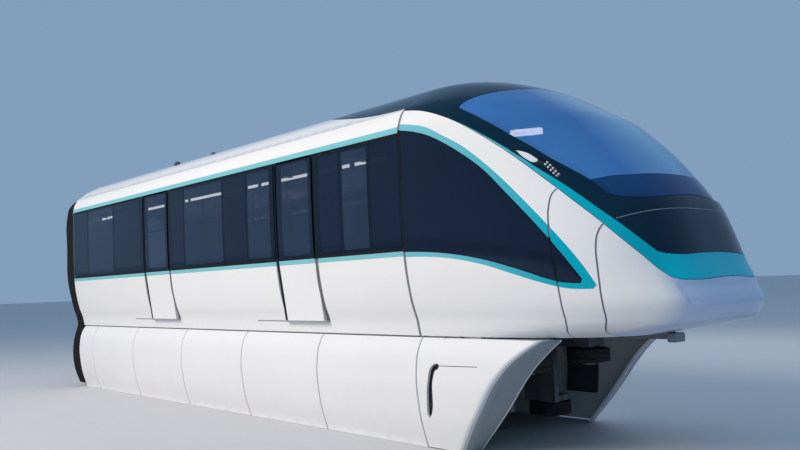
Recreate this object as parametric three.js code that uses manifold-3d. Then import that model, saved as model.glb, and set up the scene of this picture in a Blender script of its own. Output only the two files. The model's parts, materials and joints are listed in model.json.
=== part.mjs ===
// End car of a straddle monorail train, in millimetres.
// X runs forward to the nose, Y to the left side, Z up.
// The origin is on the beam's running surface, midway between the two axles.
import * as THREE from 'three';
import { mergeVertices } from 'three/addons/utils/BufferGeometryUtils.js';
import Module from 'manifold-3d';

const wasm = await Module();
wasm.setup();

// Driving dimensions of the body
const REAR = -6050; // rear face of the body
const END_FRAME = 90; // thickness of the rear portal
const CAB = 4150; // joint between saloon and cab
const GANGWAY = 480; // half of the bellows between two cars
const WALL = 60; // side wall and cab shell
const PANE = 24; // glazing
const LEAF = 45; // door leaf
const FIT = 0.4; // gap between pieces that touch
const FAR = 4000; // longer than any cut needs
const SIDES = [['right', -1], ['left', 1]];

// Cab surface and side section, one row per height:
// z, half width w, length a ahead of the cab joint, squareness n of the plan curve
const CAB_ROWS = [
  [80, 1330, 2420, 2.8],
  [170, 1350, 2940, 3.0],
  [260, 1370, 3170, 3.2],
  [420, 1430, 3220, 3.4],
  [610, 1480, 3120, 3.5],
  [830, 1520, 3010, 3.5],
  [1070, 1545, 2930, 3.4],
  [1400, 1560, 2820, 3.1],
  [1800, 1568, 2580, 2.8],
  [2100, 1570, 2340, 2.65],
  [2450, 1570, 1950, 2.5],
  [2600, 1540, 1690, 2.5],
  [2730, 1470, 1470, 2.5],
  [2905, 1250, 1180, 2.5],
  [3040, 1000, 855, 2.4],
  [3135, 600, 490, 2.3],
  [3177, 300, 250, 2.2],
  [3197, 0, 0, 2.2],
];
const EAVES_ROW = 12; // the row where wall and roof meet
const CROWN_EDGE = { back: 2800, half: 1440 }; // where the dark crown ends on the roof behind the cab joint

// Roof section from the eaves to the middle: y, z
const ROOF = [[1470, 2730], [1250, 2905], [1000, 3040], [600, 3135], [300, 3177], [0, 3197]];

const EAVES_INSET = 60; // how far the roof's inner edge stands in from the eaves

// Side openings along the saloon: name, x from, x to
const PANES = [['rear', -5980, -2770], ['middle', -1610, 1450], ['front', 2550, 4080]];
const DOORS = [['rear', -2690, -1670], ['front', 1520, 2490]];
const PANE_Z = [1100, 2425];
const DOOR_Z = [235, 2500];
const DOOR_FRAME = 75; // metal around the glass of a door leaf

// Lines on the cab in side view, ahead of the cab joint: x, z
const SHOULDER = [[0, 2728], [308, 2668], [732, 2506], [1232, 2205], [1542, 1989], [1972, 1650], [2315, 1385],
  [2713, 1042], [2830, 925], [2880, 905]]; // lower edge of the dark mask
const BAND_EDGE = [[1232, 2199], [1542, 1974], [1836, 1730], [2210, 1425], [2491, 1172], [2649, 1000], [2780, 838],
  [2862, 748], [2940, 684], [3000, 672]]; // lower edge of the coloured band under the mask
const BAND_START = 4; // the point of the shoulder where the band begins
const SCREEN_SIDE = [[826, 2610], [1177, 2410], [1707, 2052], [2290, 1635], [2430, 1500], [2480, 1476]];
const SCREEN_TOP = [[1185, 2900], [1151, 2850], [1009, 2773], [840, 2650]];
const LAMP = [[1540, 2042], [1642, 2008], [1745, 1943], [1838, 1886], [1904, 1868], [1978, 1793], [2030, 1690],
  [1977, 1712], [1887, 1797], [1775, 1868], [1670, 1914]];
const REAR_SEAM = [[2100, 1665], [2035, 1600], [1966, 1530], [1944, 1420], [1955, 1150], [2012, 622], [1975, 300],
  [1930, 0]];
const FRONT_SEAM = [[2500, 1240], [2433, 1185], [2400, 1100], [2390, 968], [2408, 583], [2360, 300], [2290, 0]];
const CAB_PANE = [[70, 1058], [338, 1043], [676, 1008], [1225, 905], [1695, 765], [2059, 652], [2235, 638],
  [2120, 850], [1790, 1245], [1418, 1650], [1056, 1980], [644, 2250], [228, 2423], [70, 2460]];

// How much rounder than the cab the windscreen is, which sinks its sides between the pillars: z, squareness less
const SCREEN_SINK = [[1150, 0], [1400, 0.3], [1690, 0.34], [2000, 0.42], [2250, 0.42], [2500, 0.22], [2660, 0]];

// Underframe and bogies
const FLOOR_Z = [80, 240];
const BOGIE_X = [['rear', -4500], ['front', 4500]];
const BEAM_HALF = 345; // half of the beam's width
const AXLE_Z = 500;
const TYRE = { radius: 500, inner: 45, outer: 285, shoulder: 28, rim: 300, well: 280 };
const AXLE = { radius: 60, bearing: 61.1, end: 430, hub: 150, hubFace: 315, dish: 225 };
const WELL = { x: 640, y: 500 };
const COUPLER = { half: 88, bottom: 12, tail: 1300, root: 2300, face: 2430 }; // housing under the nose
const GUIDE = { radius: 265, half: 85, bore: 41.1, hub: 110, rim: 180, web: 60, shoulder: 18, x: 620, upperZ: -260,
  lowerZ: -950 };
const PIN = { radius: 40, above: 40, below: 20 }; // how far each guide wheel's pin reaches past it
const COLLAR = { radius: 90, gap: 6, thick: 30 }; // under each guide wheel
const GUIDE_Y = BEAM_HALF + 2 + GUIDE.radius; // the tyres stand 2 mm off the beam's sides

// Skirt section, outer face from top to bottom: y, z
const SKIRT = [[1330, 50], [1410, -100], [1450, -420], [1410, -800], [1290, -1200]];
const SKIRT_WALL = 40;
const END_WALL = 56; // the front skirt's end face
const SKIRT_SEAM = 4160; // joint between long and front skirt
const SKIRT_NOSE = [[1790, 79], [1620, -30], [1390, -210], [1220, -390], [960, -740], [690, -1090], [610, -1200]];
const RETURN_Y = 1050; // inner edge of the front skirt's end face
const FLANGE = { inner: 1180, outer: 1310, under: 20 }; // ledge that hangs the skirt from the floor
const SKIRT_FOOT = -1200;
const VENT = [[150, -800], [170, -830], [190, -800], [285, -360], [320, -290], [380, -245], [370, -215], [295, -228],
  [245, -285], [225, -360]]; // slot in the front skirt, x, z ahead of the cab joint

// Gangway: one side of the bellows and of the passage in it, from the foot to the middle of the top: y, z
const PLEATS = 5;
const PLEAT_DEPTH = 45;
const BELLOWS_LINE = [[1250, -1150], [1400, -420], [1290, 60], [1500, 1000], [1515, 2400], [1400, 2680], [900, 2850],
  [0, 2885]];
const PASSAGE_LINE = [[1190, -1150], [1330, -420], [1220, 60], [720, 240], [720, 2300], [640, 2420], [400, 2450],
  [0, 2450]];
const PASSAGE = { half: 700, top: 2400 }; // opening in the rear portal

// Guide wheels of one bogie: name, x from the axle, z
const GUIDES = [['upper_rear', -GUIDE.x, GUIDE.upperZ], ['upper_front', GUIDE.x, GUIDE.upperZ],
  ['lower', 0, GUIDE.lowerZ]];

// Plates and beams of one bogie frame, repeated on both sides and at both ends: x from, to, y from, to, z from, to
const BOGIE_PLATES = [
  [-560, 560, 380, 470, -60, 70], // beam beside the tyres
  [-130, 130, 380, 470, 60, 640], // plate that holds the axle
  [-250, 250, 420, 760, -60, 30], // bracket under the air spring
  [-780, 780, 400, 720, -150, -50], // arm over the upper guide wheels
  [-240, 240, 400, 480, GUIDE.lowerZ + 90, -90], // leg down to the lower guide wheel
  [-240, 240, 400, 720, GUIDE.lowerZ + 100, GUIDE.lowerZ + 170], // arm over the lower guide wheel
  [540, 780, 380, 480, -60, 60], // corner
  [660, 780, -480, 480, 10, 60], // beam across, ahead of the tyres
];
const SPRING = { y: 640, radius: 110, foot: 20 }; // air spring between bogie frame and floor

// Inside of the car: outlines of x, z or y, z above the floor, and half widths
const WHEEL_BOX = { x: 700, y: 560, top: 1130, wall: 50 };
const BENCH = [[1240, 0], [1240, 960], [1180, 960], [1160, 500], [760, 490], [760, 420], [860, 400], [860, 0]];
const BENCH_X = [-1450, 1300];
const PARTITION = { x: [3560, 3600], half: 1240, top: 2560, doorHalf: 350, doorTop: 2200 };
const DESK = [[1850, 0], [2250, 0], [2420, 900], [2250, 1130], [2050, 1000], [1780, 920], [1780, 860], [1930, 780]];
const DESK_HALF = 850;
const SEAT = [[1230, 0], [1620, 0], [1570, 60], [1470, 80], [1470, 400], [1710, 420], [1720, 510], [1350, 530],
  [1230, 1150], [1150, 1150], [1230, 440], [1370, 400], [1370, 80], [1270, 60]];
const SEAT_HALF = 260;

// Colours of the plain model
const paint = (color, roughness, metalness = 0) => new THREE.MeshStandardMaterial({ color, roughness, metalness });
const WHITE = paint(0xe9ebe8, 0.25);
const BLACK = paint(0x15191f, 0.2);
const GLASS = paint(0x1d2b44, 0.05);
const GREY = paint(0x6d7276, 0.6, 0.4);
const RUBBER = paint(0x1a1a1b, 0.85);
const TRIM = paint(0x3c4650, 0.6);
const TEAL = paint(0x00a0b4, 0.25);
const LENS = paint(0xdfe6ec, 0.1);

// Solids and cuts
function toSolid(geometry) {
  const bare = geometry.index ? geometry.toNonIndexed() : geometry.clone();
  bare.deleteAttribute('normal');
  bare.deleteAttribute('uv');
  const merged = mergeVertices(bare, 1e-3);
  return new wasm.Manifold(new wasm.Mesh({
    numProp: 3,
    vertProperties: new Float32Array(merged.attributes.position.array),
    triVerts: new Uint32Array(merged.index.array),
  }));
}

function toGeometry(solid) {
  const mesh = solid.getMesh();
  const geometry = new THREE.BufferGeometry();
  geometry.setAttribute('position', new THREE.BufferAttribute(new Float32Array(mesh.vertProperties), 3));
  geometry.setIndex(new THREE.BufferAttribute(new Uint32Array(mesh.triVerts), 1));
  return geometry;
}

function extruded(points, depth) {
  const shape = new THREE.Shape(points.map(([a, b]) => new THREE.Vector2(a, b)));
  return new THREE.ExtrudeGeometry(shape, { depth, bevelEnabled: false });
}

// An outline of y, z pairs run along X
function alongX(points, from, to) {
  const geometry = extruded(points, to - from);
  geometry.applyMatrix4(new THREE.Matrix4().set(0, 0, 1, from, 1, 0, 0, 0, 0, 1, 0, 0, 0, 0, 0, 1));
  return toSolid(geometry);
}

// An outline of x, z pairs run along Y
function alongY(points, from, to) {
  const geometry = extruded(points, to - from);
  geometry.applyMatrix4(new THREE.Matrix4().set(1, 0, 0, 0, 0, 0, -1, to, 0, 1, 0, 0, 0, 0, 0, 1));
  return toSolid(geometry);
}

function box([x0, x1], [y0, y1], [z0, z1]) {
  const geometry = new THREE.BoxGeometry(x1 - x0, y1 - y0, z1 - z0);
  geometry.translate((x0 + x1) / 2, (y0 + y1) / 2, (z0 + z1) / 2);
  return toSolid(geometry);
}

function post(x, y, z0, z1, radius, sides = 16) {
  const geometry = new THREE.CylinderGeometry(radius, radius, z1 - z0, sides);
  geometry.rotateX(Math.PI / 2);
  geometry.translate(x, y, (z0 + z1) / 2);
  return toSolid(geometry);
}

// A prism along Y, made smaller all round by the fitting gap
const shrunk = (prism) => [[1, 0], [-1, 0], [0, 1], [0, -1]]
  .reduce((rest, [dx, dz]) => rest.intersect(prism.translate([dx * FIT, 0, dz * FIT])), prism);

const joined = (solids) => solids.reduce((whole, piece) => whole.add(piece));
const shifted = (points, dx, dz = 0) => points.map(([x, z]) => [x + dx, z + dz]);
const atCab = (points, dx = 0, dz = 0) => shifted(points, CAB + dx, dz);

// A smooth curve through the rows that never overshoots them, as columns of one table
function rowAt(rows, t) {
  const last = rows.length - 1;
  const k = Math.min(Math.floor(t), last - 1);
  const s = t - k;
  const step = (i, c) => rows[i + 1][c] - rows[i][c];
  const slope = (i, c) => {
    if (i === 0) return step(0, c);
    if (i === last) return step(last - 1, c);
    const before = step(i - 1, c);
    const after = step(i, c);
    return before * after <= 0 ? 0 : (2 * before * after) / (before + after);
  };
  return rows[k].map((value, c) => {
    const next = rows[k + 1][c];
    const rise = slope(k, c) * (s ** 3 - 2 * s ** 2 + s) + slope(k + 1, c) * (s ** 3 - s ** 2);
    return value * (2 * s ** 3 - 3 * s ** 2 + 1) + next * (3 * s ** 2 - 2 * s ** 3) + rise;
  });
}

// The value beside z in a table of z, value pairs
function valueAt(table, z) {
  const k = table.findIndex(([height]) => height > z);
  if (k <= 0) return k === 0 ? table[0][1] : table[table.length - 1][1];
  const [[z0, v0], [z1, v1]] = [table[k - 1], table[k]];
  return v0 + ((v1 - v0) * (z - z0)) / (z1 - z0);
}

// A point of the cab surface: t climbs the rows, turn goes from -1 (right) to 1 (left)
const BODY = [[0, 0]]; // no sinking
function cabPoint(t, turn, sink) {
  const [z, w, a, square] = rowAt(CAB_ROWS, t);
  const n = square - valueAt(sink, z);
  const angle = (turn * Math.PI) / 2;
  const x = a * Math.cos(angle) ** (2 / n);
  const y = w * Math.sign(turn) * Math.abs(Math.sin(angle)) ** (2 / n);
  return new THREE.Vector3(Math.abs(turn) === 1 ? 0 : x, y, z);
}

// The same point moved inwards by a depth
function cabInside(t, turn, depth, sink) {
  const point = cabPoint(t, turn, sink);
  if (depth === 0) return point;
  const last = CAB_ROWS.length - 1;
  if (t > last - 0.01) return point.setZ(point.z - depth);
  const step = 0.02;
  const across = cabPoint(t, Math.min(turn + step, 1), sink).sub(cabPoint(t, Math.max(turn - step, -1), sink));
  const up = cabPoint(Math.min(t + step, last), turn, sink).sub(cabPoint(Math.max(t - step, 0), turn, sink));
  const normal = across.cross(up).normalize();
  if (Math.abs(turn) === 1) normal.setX(0).normalize();
  return point.addScaledVector(normal, -depth);
}

// The volume within the cab surface at a depth below it, open to the saloon and below where it is a hollow
const TURNS = 28;
const CLIMBS = [0, 0.5, 1, 1.5, 2, 3, 4, 5, 6, 7, 8, 9, 10, 11, 11.5, 12, 13, 14, 15, 16];
const OPEN = { back: -100, drop: 60 };
function cabVolume(depth, { back, drop } = OPEN, sink = BODY) {
  const rows = CLIMBS.map((t) => {
    const ring = [];
    for (let i = 0; i <= TURNS; i += 1) ring.push(cabInside(t, (2 * i) / TURNS - 1, depth, sink));
    const rear = [ring[0].clone().setX(back), ring[TURNS].clone().setX(back)];
    return [rear[0], ...ring, rear[1]];
  });
  if (drop) rows.unshift(rows[0].map((p) => p.clone().setZ(p.z - drop)));
  const apex = cabInside(CAB_ROWS.length - 1, 0, depth, sink);
  const points = rows.flat();
  const wide = TURNS + 3;
  const triangles = [];
  const quad = (a, b, c, d) => triangles.push(a, b, c, a, c, d);
  for (let r = 0; r + 1 < rows.length; r += 1) {
    for (let i = 0; i < wide; i += 1) {
      const j = (i + 1) % wide;
      quad(r * wide + i, r * wide + j, (r + 1) * wide + j, (r + 1) * wide + i);
    }
  }
  points.push(apex, apex.clone().setX(back));
  const top = (rows.length - 1) * wide;
  const tip = points.length - 2;
  for (let i = 0; i + 1 < wide; i += 1) triangles.push(top + i, top + i + 1, tip);
  triangles.push(top + wide - 1, tip + 1, tip);
  triangles.push(top + wide - 1, top, tip + 1);
  triangles.push(tip + 1, top, tip);
  const base = new THREE.Vector3(back, 0, rows[0][0].z);
  points.push(base);
  for (let i = 0; i < wide; i += 1) triangles.push((i + 1) % wide, i, points.length - 1);
  const geometry = new THREE.BufferGeometry();
  const corners = triangles.flatMap((index) => points[index].toArray());
  geometry.setAttribute('position', new THREE.BufferAttribute(new Float32Array(corners), 3));
  return toSolid(geometry).translate([CAB, 0, 0]);
}

// The car as one group of named meshes
const car = new THREE.Group();
function place(name, solid, material) {
  const mesh = new THREE.Mesh(toGeometry(solid), material);
  mesh.name = name;
  car.add(mesh);
}

// Side section: outer points of the right or left wall, and the same moved inwards
function sideLine(side, depth) {
  const rows = CAB_ROWS.slice(0, EAVES_ROW + 1);
  return rows.map(([z, w], i) => {
    const [z0, w0] = rows[Math.max(i - 1, 0)];
    const [z1, w1] = rows[Math.min(i + 1, rows.length - 1)];
    const length = Math.hypot(z1 - z0, w1 - w0);
    const level = i === 0 || i === EAVES_ROW;
    const inY = level ? depth : (depth * (z1 - z0)) / length;
    const inZ = level ? 0 : (-depth * (w1 - w0)) / length;
    return [side * (w - inY), z + inZ];
  });
}

function layer(side, outer, inner, from, to) {
  return alongX([...sideLine(side, outer), ...sideLine(side, inner).reverse()], from, to);
}

const window = (from, to, [z0, z1], shrink = 0) => box(
  [from + shrink, to - shrink],
  [-FAR, FAR],
  [z0 + shrink, z1 - shrink],
);

// Saloon walls, doors and glazing
const wallStart = REAR + END_FRAME + FIT;
for (const [sideName, side] of SIDES) {
  let wall = layer(side, 0, WALL, wallStart, CAB - FIT);
  for (const [, from, to] of PANES) wall = wall.subtract(window(from, to, PANE_Z));
  for (const [, from, to] of DOORS) wall = wall.subtract(window(from, to, DOOR_Z));
  place(`side_wall_${sideName}`, wall, WHITE);
  for (const [name, from, to] of PANES) {
    const pane = layer(side, 0, PANE, wallStart, CAB).intersect(window(from, to, PANE_Z, FIT));
    place(`pane_${name}_${sideName}`, pane, GLASS);
  }
  for (const [name, from, to] of DOORS) {
    const glassFrom = from + DOOR_FRAME;
    const glassTo = to - DOOR_FRAME;
    const leaf = layer(side, 0, LEAF, wallStart, CAB).intersect(window(from, to, DOOR_Z, FIT));
    const glass = layer(side, 0, PANE, wallStart, CAB).intersect(window(glassFrom, glassTo, PANE_Z, FIT));
    place(`door_${name}_${sideName}`, leaf.subtract(window(glassFrom, glassTo, PANE_Z)), WHITE);
    place(`door_pane_${name}_${sideName}`, glass, GLASS);
  }
}

// Roof arch between the eaves
const [eavesY, eavesZ] = ROOF[0];
const bothSides = (line) => [...line, ...line.slice(0, -1).reverse().map(([y, z]) => [-y, z])];
const roofLine = bothSides(ROOF);
const ceiling = bothSides(ROOF.map(([y, z]) => [Math.min(y, eavesY - EAVES_INSET), Math.max(z - WALL, eavesZ)]));
const raised = (line) => shifted(line, 0, FIT);
const roof = alongX([...raised(roofLine), ...raised(ceiling).reverse()], wallStart, CAB - FIT);
const CROWN_STEPS = 24;
function crownPlan(gap) {
  const back = CROWN_EDGE.back - gap;
  const half = CROWN_EDGE.half - gap;
  const footprint = [];
  for (let i = 0; i <= CROWN_STEPS; i += 1) {
    const angle = (Math.PI * i) / CROWN_STEPS - Math.PI / 2;
    footprint.push([CAB - back * Math.cos(angle), half * Math.sin(angle)]);
  }
  return extruded(footprint, FAR);
}
place('roof_panel', roof.subtract(toSolid(crownPlan(0))), WHITE);
place('roof_crown', roof.intersect(toSolid(crownPlan(FIT))), BLACK);

// Underframe with a well over each axle, and the coupler's housing under the nose
const SOLID = { back: 0, drop: 0 };
const shellOuter = cabVolume(0, SOLID);
const besideWall = (z) => valueAt(sideLine(1, WALL + 2 * FIT).map(([y, height]) => [height, y]), z);
const floorLine = [FLOOR_Z[0], CAB_ROWS[1][0], FLOOR_Z[1]].map((z) => [besideWall(z), z]);
const slab = alongX([...floorLine, ...floorLine.map(([y, z]) => [-y, z]).reverse()], wallStart, CAB);
const frontSlab = cabVolume(WALL + 2 * FIT).intersect(box([CAB - FIT, CAB + FAR], [-FAR, FAR], FLOOR_Z));
const housing = alongY(atCab([[COUPLER.tail, COUPLER.bottom], [COUPLER.face, COUPLER.bottom],
  [COUPLER.face, FLOOR_Z[0] - FIT], [COUPLER.root, FLOOR_Z[0] - FIT], [COUPLER.root, CAB_ROWS[1][0]],
  [COUPLER.tail, CAB_ROWS[1][0]]]), -COUPLER.half, COUPLER.half);
let underframe = joined([slab, frontSlab, housing]);
for (const [, x] of BOGIE_X) {
  underframe = underframe.subtract(box([x - WELL.x, x + WELL.x], [-WELL.y, WELL.y], [0, FLOOR_Z[1] + WALL]));
}
place('underframe', underframe, GREY);

// Regions of the cab in side view, each a prism across the car
const REACH = 3400; // beyond the nose and above the roof
const BACK = -200; // behind the cab joint
const across = (points) => alongY(atCab(points), -FAR, FAR);
const upwards = [[REACH, REACH], [BACK, REACH], [BACK, SHOULDER[0][1]]];
const level = (line) => [REACH, line[line.length - 1][1]];
const whiteEdge = [...SHOULDER.slice(0, BAND_START), ...BAND_EDGE];
const aboveWhite = across([...whiteEdge, level(whiteEdge), ...upwards]);
const aboveBand = across([...SHOULDER, level(SHOULDER), ...upwards]);
const bandTop = SHOULDER.slice(BAND_START - 1).reverse();
const bandFace = across([...BAND_EDGE, level(BAND_EDGE), level(SHOULDER), ...bandTop]);
const screen = across([...SCREEN_SIDE, level(SCREEN_SIDE), [REACH, SCREEN_TOP[0][1]], ...SCREEN_TOP]);
const lamp = across(LAMP);
const paneHole = across(CAB_PANE);
const inFront = (seam, gap) => across([...shifted(seam, gap), [REACH, 0], [REACH, seam[0][1]]]);
const behind = (seam, gap) => across([...shifted(seam, -gap), [BACK, 0], [BACK, REACH], [seam[0][0] - gap, REACH]]);

// Cab shell in its real panels
const shell = shellOuter.subtract(cabVolume(WALL));
const skin = shellOuter.subtract(cabVolume(PANE));
const lower = shell.subtract(aboveWhite);
const pillars = shellOuter.subtract(cabVolume(WALL, OPEN, SCREEN_SINK));
const sunkGlass = cabVolume(0, SOLID, SCREEN_SINK).subtract(cabVolume(PANE, OPEN, SCREEN_SINK));
const mask = pillars.intersect(aboveBand.translate([0, 0, FIT])).subtract(screen);
place('nose_mask', mask.subtract(lamp), BLACK);
place('windscreen', sunkGlass.intersect(shrunk(screen)), GLASS);
place('nose_shell', lower.intersect(inFront(FRONT_SEAM, FIT)), WHITE);
const band = bandFace.intersect(bandFace.translate([0, 0, FIT])).intersect(bandFace.translate([FIT, 0, 0]));
place('nose_band', shell.intersect(band), TEAL);
for (const [sideName, side] of SIDES) {
  const half = box([CAB - WALL, CAB + FAR], side > 0 ? [0, FAR] : [-FAR, 0], [0, FAR]);
  const sidePanel = lower.intersect(half).intersect(behind(REAR_SEAM, FIT));
  place(`cab_side_${sideName}`, sidePanel.subtract(paneHole), WHITE);
  place(`cab_window_${sideName}`, skin.intersect(half).intersect(shrunk(paneHole)), GLASS);
  const strip = lower.intersect(half).intersect(inFront(REAR_SEAM, 0)).intersect(behind(FRONT_SEAM, 0));
  place(`corner_panel_${sideName}`, strip.subtract(paneHole), WHITE);
  place(`headlamp_${sideName}`, pillars.intersect(half).intersect(shrunk(lamp)), LENS);
}

// Rear portal with the gangway opening
const fullLine = [...sideLine(1, 0), ...raised(roofLine.slice(1, -1)), ...sideLine(-1, 0).reverse()];
const passage = box([-FAR * 2, -FAR], [-PASSAGE.half, PASSAGE.half], [FLOOR_Z[1], PASSAGE.top]);
place('rear_frame', alongX(fullLine, REAR, REAR + END_FRAME).subtract(passage), WHITE);

// Bellows with pleats, and the dark seals that carry the gap down to the skirts
function bellows() {
  const stations = [];
  for (let i = 0; i <= 2 * PLEATS; i += 1) {
    stations.push([REAR - FIT - (i * GANGWAY) / (2 * PLEATS), i % 2 ? PLEAT_DEPTH : 0]);
  }
  const upright = 1100; // beyond this y a fold sinks sideways, nearer the middle it sinks downwards
  const ringAt = ([x, inset]) => {
    const outer = BELLOWS_LINE.map(([y, z]) => [Math.max(y - inset, 0), y > upright ? z : z - inset]);
    return [...bothSides(outer), ...bothSides(PASSAGE_LINE).reverse()].map(([y, z]) => [x, y, z]);
  };
  const rings = stations.map(ringAt);
  const count = rings[0].length;
  const half = count / 2;
  const triangles = [];
  const quad = (a, b, c, d) => triangles.push(a, b, c, a, c, d);
  for (let s = 0; s + 1 < rings.length; s += 1) {
    for (let i = 0; i < count; i += 1) {
      const j = (i + 1) % count;
      quad(rings[s][i], rings[s + 1][i], rings[s + 1][j], rings[s][j]);
    }
  }
  const end = rings.length - 1;
  for (let i = 0; i + 1 < half; i += 1) {
    const mate = count - 1 - i;
    quad(rings[0][i], rings[0][i + 1], rings[0][mate - 1], rings[0][mate]);
    quad(rings[end][mate], rings[end][mate - 1], rings[end][i + 1], rings[end][i]);
  }
  const geometry = new THREE.BufferGeometry();
  geometry.setAttribute('position', new THREE.BufferAttribute(new Float32Array(triangles.flat()), 3));
  return toSolid(geometry);
}
place('gangway_bellows', bellows(), RUBBER);

// Skirts over the beam's sides
const mirrorY = (points, side) => points.map(([y, z]) => [side * y, z]);
const skirtInside = SKIRT.map(([y, z], i) => [y - SKIRT_WALL, i === 0 ? z - SKIRT_WALL : z]);
const flangeTop = FLOOR_Z[0] - FIT;
const skirtTop = SKIRT[0][0] - SKIRT_WALL;
const belowFoot = SKIRT_FOOT - 100;
const slot = across(VENT);
for (const [sideName, side] of SIDES) {
  const flange = [[FLANGE.inner, FLANGE.under], [FLANGE.inner, flangeTop], [FLANGE.outer, flangeTop]];
  const outline = [...SKIRT, ...skirtInside.slice(1).reverse(), [skirtTop, FLANGE.under], ...flange];
  place(`skirt_${sideName}`, alongX(mirrorY(outline, side), REAR, SKIRT_SEAM - FIT), WHITE);
  const blockLine = [...SKIRT, [RETURN_Y, SKIRT_FOOT], [RETURN_Y, flangeTop], [FLANGE.outer, flangeTop]];
  const coreLine = [[skirtTop, FLANGE.under], ...skirtInside.slice(1), [skirtTop - SKIRT_WALL, belowFoot],
    [RETURN_Y - FIT, belowFoot], [RETURN_Y - FIT, FLANGE.under]];
  const nose = [...atCab(SKIRT_NOSE), [SKIRT_SEAM, SKIRT_FOOT], [SKIRT_SEAM, flangeTop]];
  const behindNose = [...atCab(SKIRT_NOSE, -END_WALL), [CAB, belowFoot], [CAB - WALL, belowFoot],
    [CAB - WALL, FAR]];
  const block = alongX(mirrorY(blockLine, side), SKIRT_SEAM, CAB + FAR).intersect(alongY(nose, -FAR, FAR));
  const core = alongX(mirrorY(coreLine, side), CAB, CAB + FAR).intersect(alongY(behindNose, -FAR, FAR));
  place(`front_skirt_${sideName}`, block.subtract(core).subtract(slot), WHITE);
}

// Running gear: each bogie straddles the beam
const turned = (points, segments) => toSolid(new THREE.LatheGeometry(
  points.map(([radius, along]) => new THREE.Vector2(radius, along)),
  segments,
));

// Axle with both load tyres and their hubs: radius, y
function wheelset() {
  const { radius, inner, outer, shoulder, rim, well } = TYRE;
  const { hub, hubFace, dish } = AXLE;
  const half = [[0, AXLE.end], [AXLE.radius, AXLE.end], [AXLE.radius, hubFace], [hub, hubFace], [hub, dish],
    [well, dish], [rim, outer], [radius - shoulder, outer], [radius, outer - shoulder],
    [radius, inner + shoulder], [radius - shoulder, inner], [rim, inner]];
  return turned([...half.map(([r, along]) => [r, -along]), ...half.slice().reverse()], 28);
}

// Guide tyre on its hub, turning about a pin: radius, z
function guideWheel() {
  const { radius, half, bore, hub, rim, web, shoulder } = GUIDE;
  const edge = [[bore, half], [hub, half], [rim, web], [radius - shoulder, half], [radius, half - shoulder]];
  const whole = [...edge.map(([r, along]) => [r, -along]), ...edge.slice().reverse(), [bore, -half]];
  return turned(whole, 20).rotate([90, 0, 0]);
}

function bogieFrame() {
  const parts = [];
  for (const [x0, x1, y0, y1, z0, z1] of BOGIE_PLATES) {
    for (const [, side] of SIDES) {
      const y = side > 0 ? [y0, y1] : [-y1, -y0];
      parts.push(box([x0, x1], y, [z0, z1]));
      if (x0 > 0) parts.push(box([-x1, -x0], y, [z0, z1]));
    }
  }
  for (const [, side] of SIDES) {
    parts.push(post(0, side * SPRING.y, SPRING.foot, FLOOR_Z[0] - FIT, SPRING.radius));
    for (const [, x, z] of GUIDES) {
      const lowerFace = z - GUIDE.half;
      const collarTop = lowerFace - COLLAR.gap;
      parts.push(post(x, side * GUIDE_Y, lowerFace - PIN.below, z + GUIDE.half + PIN.above, PIN.radius));
      parts.push(post(x, side * GUIDE_Y, collarTop - COLLAR.thick, collarTop, COLLAR.radius));
    }
  }
  const bore = new THREE.CylinderGeometry(AXLE.bearing, AXLE.bearing, FAR, 24);
  return joined(parts).subtract(toSolid(bore).translate([0, 0, AXLE_Z]));
}

for (const [name, x] of BOGIE_X) {
  place(`bogie_frame_${name}`, bogieFrame().translate([x, 0, 0]), GREY);
  place(`wheelset_${name}`, wheelset().translate([x, 0, AXLE_Z]), RUBBER);
  for (const [guideName, dx, z] of GUIDES) {
    for (const [sideName, side] of SIDES) {
      const wheel = guideWheel().translate([x + dx, side * GUIDE_Y, z]);
      place(`guide_${name}_${guideName}_${sideName}`, wheel, RUBBER);
    }
  }
}

// Inside: boxes over the wheels, benches, partition, desk and driver's seat
const floorTop = FLOOR_Z[1] + FIT;
for (const [name, x] of BOGIE_X) {
  const { x: halfX, y: halfY, top, wall } = WHEEL_BOX;
  const outside = box([x - halfX, x + halfX], [-halfY, halfY], [floorTop, top]);
  const hollow = box([x - halfX + wall, x + halfX - wall], [wall - halfY, halfY - wall], [0, top - wall]);
  place(`wheel_box_${name}`, outside.subtract(hollow), TRIM);
}
for (const [sideName, side] of SIDES) {
  place(`bench_${sideName}`, alongX(shifted(mirrorY(BENCH, side), 0, floorTop), ...BENCH_X), TRIM);
}
const bulkhead = box(PARTITION.x, [-PARTITION.half, PARTITION.half], [floorTop, PARTITION.top]);
const doorway = box([0, FAR], [-PARTITION.doorHalf, PARTITION.doorHalf], [0, PARTITION.doorTop]);
place('cab_partition', bulkhead.subtract(doorway), TRIM);
place('driver_desk', alongY(atCab(DESK, 0, floorTop), -DESK_HALF, DESK_HALF), TRIM);
place('driver_seat', alongY(atCab(SEAT, 0, floorTop), -SEAT_HALF, SEAT_HALF), TRIM);

export default car;
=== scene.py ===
"""End car of a straddle monorail train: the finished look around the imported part.

Metres. X runs forward to the nose, Y to the left side, Z up. The origin is on the
beam's running surface, midway between the two axles.
"""

import json
import math

import bmesh
import bpy
import numpy as np
from mathutils import Matrix, Vector
from mathutils.geometry import delaunay_2d_cdt
from mathutils.kdtree import KDTree


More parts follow.
